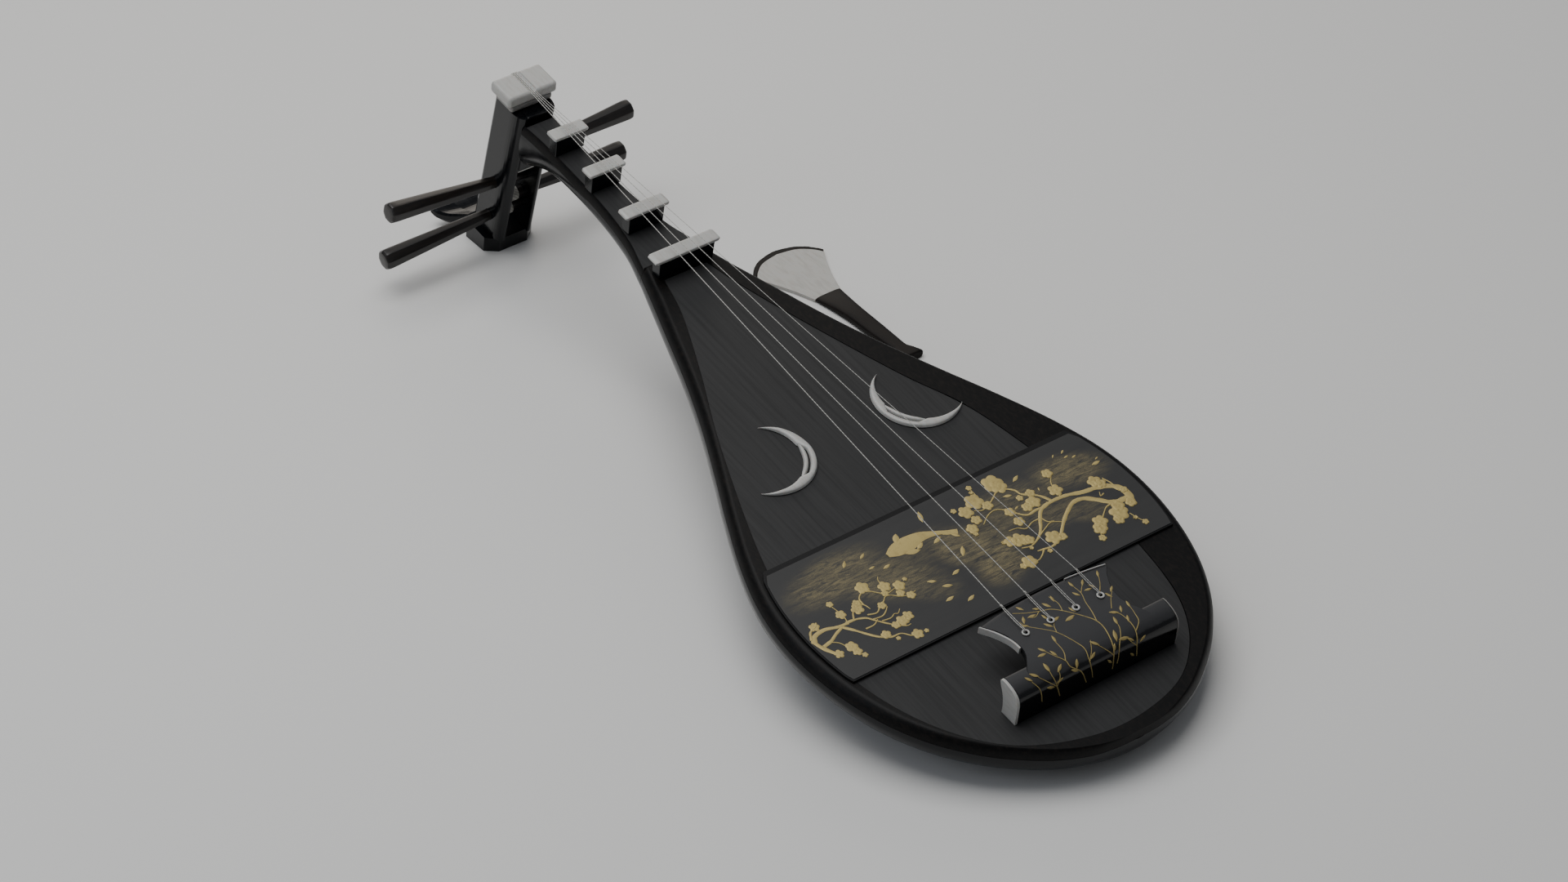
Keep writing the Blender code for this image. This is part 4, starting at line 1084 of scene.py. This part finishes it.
def makeFrets():
    for number, (y, block, cap) in enumerate(frets["places"], 1):
        y *= mm
        under = frets["top"] - frets["capThick"]
        half = frets["blockLong"] / 2
        bm = roundedBlock((-block * mm, y - half, gap), (block * mm, y + half, under - gap), 0.6 * mm)
        for vert in bm.verts:  # the block narrows a little towards its foot
            share = 1 - vert.co.z / under
            vert.co.y = y + (vert.co.y - y) * (1 - 0.10 * share)
            vert.co.x *= 1 - 0.02 * share
        layPiece(f"fret_{number}_block", bm, urushi)
        half = frets["capLong"] / 2
        rings = []
        count = 28
        for i in range(count + 1):
            x = 2 * i / count - 1
            ends = min(1, max(0, (abs(x) * cap - (cap - 1.3)) / 1.3))
            shrink = 1.1 * mm * (1 - (1 - ends**2) ** 0.5)
            middle, tall = (under + frets["top"]) / 2, frets["capThick"] / 2 - shrink
            section = squareRing(24, 0.30, 0.42)  # a rounded bar, its top a shallow crown
            rings.append([(x * cap * mm, y + a * (half - shrink), middle + b * tall) for a, b in section])
        layPiece(f"fret_{number}_cap", addLoft(bmesh.new(), rings), ivory, sharp=50)


nut = {  # the corners of the block and of the lip under it, their roundness, and the strings' groove
    "block": ((-25 * mm, 772 * mm, 14.8 * mm), (25 * mm, 802 * mm, 26 * mm), 3.2 * mm, 6),
    "lip": ((-21.2 * mm, 773.5 * mm, 7.8 * mm), (21.2 * mm, 799 * mm, 14.5 * mm), 2.4 * mm, 5),
    "groove": 24.0 * mm,
    "grooveHalf": 3.6,
}


def makeNut():
    block = roundedBlock(*nut["block"])
    rings = []
    wide = nut["grooveHalf"]
    for i in range(13):
        y = (766 + 42 * i / 12) * mm
        places = (-wide, -3, -2, -1, 0, 1, 2, 3, wide)
        floor = [(x * mm, y, nut["groove"] + abs(x / wide) ** 3 * 1.3 * mm) for x in places]
        rings.append(floor + [(5.5 * mm, y, 30 * mm), (-5.5 * mm, y, 30 * mm)])
    layPiece("nut_block", carve(block, addLoft(bmesh.new(), rings)), ivory, sharp=32)
    layPiece("nut_lip", roundedBlock(*nut["lip"]), horn)


makeCrescents()
makeFrets()
makeNut()
print("crescents, frets and nut made")

# Pegs, windings and strings
pegs = {
    "rows": [  # side of the head, depth, reach and rise
        (1, -65.0, 121, 2.6), (-1, -89.5, 131, 6.6), (1, -112.5, 122, -0.8), (-1, -128.5, 130, -2.7),
    ],
    "coil": (6.05, 0.55, 10, 6),  # radius of the first layer, the step up, turns in each layer
    "windingHalf": 4.6 * mm,
    "strand": 0.42 * mm,
}


def pegPlace(side, depth, rise):
    y = pegRow - lie["pegLean"] * depth * mm
    return Matrix.Translation((0, y, depth * mm)) @ Matrix.Rotation(-side * radians(rise), 4, "Y")


def makePegs():
    for number, (side, depth, reach, rise) in enumerate(pegs["rows"], 1):
        place = toWorld @ pegPlace(side, depth, rise)
        shape = [  # x, radius in mm, how eight-sided
            (-16.5, 3.4, 0), (-16.1, 4.2, 0), (0, 4.75, 0), (20, 5.15, 0), (22, 5.3, 0.2),
            (24.5, 5.7, 0.8), (27, 6.0, 1),
            (31, 6.3, 1), (50, 7.0, 1), (70, 7.8, 1), (90, 8.6, 1), (reach - 9, 9.7, 1), (reach - 5, 9.8, 1),
            (reach - 2.4, 9.5, 1), (reach - 1.2, 8.8, 1), (reach - 0.5, 7.9, 0.9),
            (reach - 0.1, 6.0, 0.7), (reach, 3.0, 0.4),
        ]
        rings = []
        for x, radius, flat in shape:
            ring = []
            for i in range(48):
                turn = 2 * pi * i / 48
                inFlat = (turn + pi / 8) % (pi / 4) - pi / 8
                eight = min(cos(pi / 8) / cos(inFlat), 0.985)
                wide = radius * mm * (1 - flat + flat * eight)
                ring.append((side * x * mm, wide * cos(turn), wide * sin(turn)))
            rings.append(ring)
        peg = addLoft(bmesh.new(), rings)
        layPiece(f"peg_{number}", peg, pegWood, f"peg_{number}_body", 18, place)

        middle = strings[number - 1][1] * 2.2
        coil = bmesh.new()
        path = []
        inner, step, first, second = pegs["coil"]
        for i in range((first + second) * 18 + 1):
            turns = i / 18
            if turns <= first:
                along, radius = -1 + 2 * turns / first, inner
            else:
                along, radius = 1 - 1.45 * (turns - first) / second, inner + step * min(1, (turns - first) * 2)
            x = middle * mm + along * (pegs["windingHalf"] - pegs["strand"])
            path.append((x, radius * mm * cos(2 * pi * turns), radius * mm * sin(2 * pi * turns)))
        sweep(coil, path, pegs["strand"], 8)
        layPiece(f"winding_{number}", coil, silk, f"peg_{number}_body", 60, place, False)


def makeStrings():
    top, groove = 34.8 * mm, nut["groove"]
    for number, (x, nutX, radius) in enumerate(strings, 1):
        side, depth, _, rise = pegs["rows"][number - 1]
        x, nutX, radius = x * mm, nutX * mm, radius * mm
        lift = radius + gap
        woundX = nutX * 2.2
        _, y, z = pegPlace(side, depth, rise) @ Vector((woundX, 0, 0))
        back = 802 * mm + lift + 0.4 * mm
        knotY = frontEdge(x) + 3.0 * mm
        knotZ = top + lift + 0.1 * mm
        string = bmesh.new()
        run = [
            (x, knotY, knotZ), (nutX, 771.8 * mm, groove + lift), (nutX, 787 * mm, groove + lift),
            (nutX, 800.6 * mm, groove + lift), (nutX, 802.3 * mm, groove + lift - 0.2 * mm),
            (nutX, back, groove - 0.8 * mm), (nutX, back + 0.2 * mm, groove - 3 * mm),
            (nutX * 1.2, back + 3 * mm, -10 * mm), (woundX, y + 7 * mm + lift, z + 4 * mm),
            (woundX, y + 7 * mm + lift, z - 2 * mm),
        ]
        sweep(string, run, radius, 10)
        thin = radius * 0.9
        eye = Vector((x, bridge["eyeletY"], 0))
        for hand in (-1, 1):  # the loop's two strands, from the knot into the eyelet
            sweep(string, smoothLine([
                (x + hand * 0.35 * mm, knotY, knotZ), (x + hand * 0.75 * mm, knotY - 5 * mm, top + lift - 0.3 * mm),
                (x + hand * 0.8 * mm, eye.y + 10 * mm, top + lift - 0.5 * mm),
                (x + hand * 0.6 * mm, eye.y + 3.4 * mm, top + lift - 0.1 * mm),
                (x + hand * 0.5 * mm, eye.y + 1.2 * mm, top - 0.6 * mm),
                (x + hand * 0.4 * mm, eye.y + 0.6 * mm, 29 * mm),
            ], 5), thin, 8)
        turns = 5  # the loop's end is wound back round the string
        coil = []
        for i in range(turns * 14 + 1):
            t = i / 14
            spot = Vector((x, knotY - 1.2 * mm + t * 1.8 * radius, knotZ))
            coil.append(spot + Vector((cos(2 * pi * t), 0, sin(2 * pi * t))) * (radius * 2.1))
        sweep(string, coil, thin, 8)
        layPiece(f"string_{number}", string, silk, sharp=60, weighted=False)


makePegs()
makeStrings()
print("pegs and strings made")

# Plectrum, lying on the floor beside the neck
plectrum = {"blade": 3.2 * mm, "handle": 8.0 * mm}


def makePlectrum():
    low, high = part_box("plectrum_blade")
    middle = (low[0] + high[0]) / 2
    start = low[1]  # the blade's straight end, where the handle takes over
    here = Matrix.Translation((middle, start - 575.0 * mm, 0))

    side = smoothLine([(14, 575), (21, 596), (30.5, 617.5), (36.5, 628.8)], 8)
    corner = side[-1].x
    arc = smoothLine([(corner, 628.8), (30, 637.7), (18, 646.5), (0.001, 650.4)], 8)
    right = [(p.x * mm, p.y * mm) for p in side + arc[1:]]
    blade = slab(both(right), 0.02 * mm, plectrum["blade"], 0.7 * mm, 3)
    layPiece("plectrum_blade", blade, boxwood, "plectrum", 35, here)
    inner = [(p.x * mm + 0.2 * mm, p.y * mm + gap + 0.1 * mm) for p in arc]
    outer = [(p.x * 1.06 * mm, (p.y + 6.1 - 2.4 * (p.x / corner) ** 2) * mm) for p in arc]
    ring = inner + [(-x, y) for x, y in inner[-2::-1] + outer] + outer[-2::-1]
    tip = slab(ring, 0.02 * mm, plectrum["blade"] - 0.4 * mm, 0.5 * mm)
    layPiece("plectrum_tip", tip, handleWood, "plectrum", 35, here)
    widths = [
        (574.7, 13.8, 0.6), (556, 11.2, 0.85), (535, 9.2, 1), (508, 8.5, 1), (484, 7.5, 1), (472, 7.4, 1),
        (466, 10.5, 1), (458.5, 13.5, 1), (456.6, 13.2, 0.95), (456, 12.2, 0.8),
    ]
    rings = []
    for y, half, height in smoothLine(widths, 5):
        tall = plectrum["handle"] * height / 2
        section = squareRing(32, 0.6, 0.6)
        rings.append([(half * mm * a, y * mm, max(0.02 * mm, tall * (1 + b))) for a, b in section])
    layPiece("plectrum_handle", addLoft(bmesh.new(), rings), handleWood, "plectrum", 40, here)


makePlectrum()
print("plectrum made")


# What stays as it is built has its shading evened
def dressBuiltParts():
    for part in frame["record"]["subparts"]:
        shape = nodes[part["node"]]
        if shape.hide_render:
            continue
        shadeEvenly(shape, 32)
        print("as built:", part["node"])


dressBuiltParts()


# Floor and light
def makeStage():
    bm = bmesh.new()
    bmesh.ops.create_grid(bm, x_segments=1, y_segments=1, size=6.0)
    data = bpy.data.meshes.new("floor")
    bm.to_mesh(data)
    bm.free()
    floor = addObject("floor", data)
    floor.location.z = -0.2 * mm
    material, tree, shader, place = startMaterial("paperFloorMatt", "D4D3D0", Roughness=0.85)
    fibre = addNode(tree, "ShaderNodeTexNoise", {}, {"Scale": 90, "Detail": 4}, {"Vector": place})
    bump = addNode(tree, "ShaderNodeBump", {}, {"Strength": 0.1, "Distance": 0.2 * mm}, {
        "Height": fibre.outputs["Fac"]
    })
    tree.links.new(bump.outputs["Normal"], shader.inputs["Normal"])
    data.materials.append(material)


def makeLights():
    lights = {  # place, size, watts, colour
        "overhead": ((-0.3, 0.5, 2.6), 2.4, 62, "FFFFFF"),
        "left": ((-2.4, 0.3, 1.5), 1.6, 11, "E9F1FF"),
        "back": ((1.3, 2.4, 1.3), 1.4, 15, "FFF6EA"),
    }
    for name, (place, size, watts, colour) in lights.items():
        data = bpy.data.lights.new(name, "AREA")
        data.shape = "SQUARE"
        data.size = size
        data.energy = watts
        data.color = hexToLinear(colour)[:3]
        lamp = addObject(name, data)
        lamp.location = place
        lamp.rotation_mode = "QUATERNION"
        lamp.rotation_quaternion = (-Vector(place)).to_track_quat("-Z", "Y")
    world = bpy.data.worlds.new("studio")
    world.use_nodes = True
    world.node_tree.nodes["Background"].inputs["Color"].default_value = hexToLinear("CDD1D8")
    world.node_tree.nodes["Background"].inputs["Strength"].default_value = 0.34
    bpy.context.scene.world = world


makeStage()
makeLights()
print("floor and lights made")
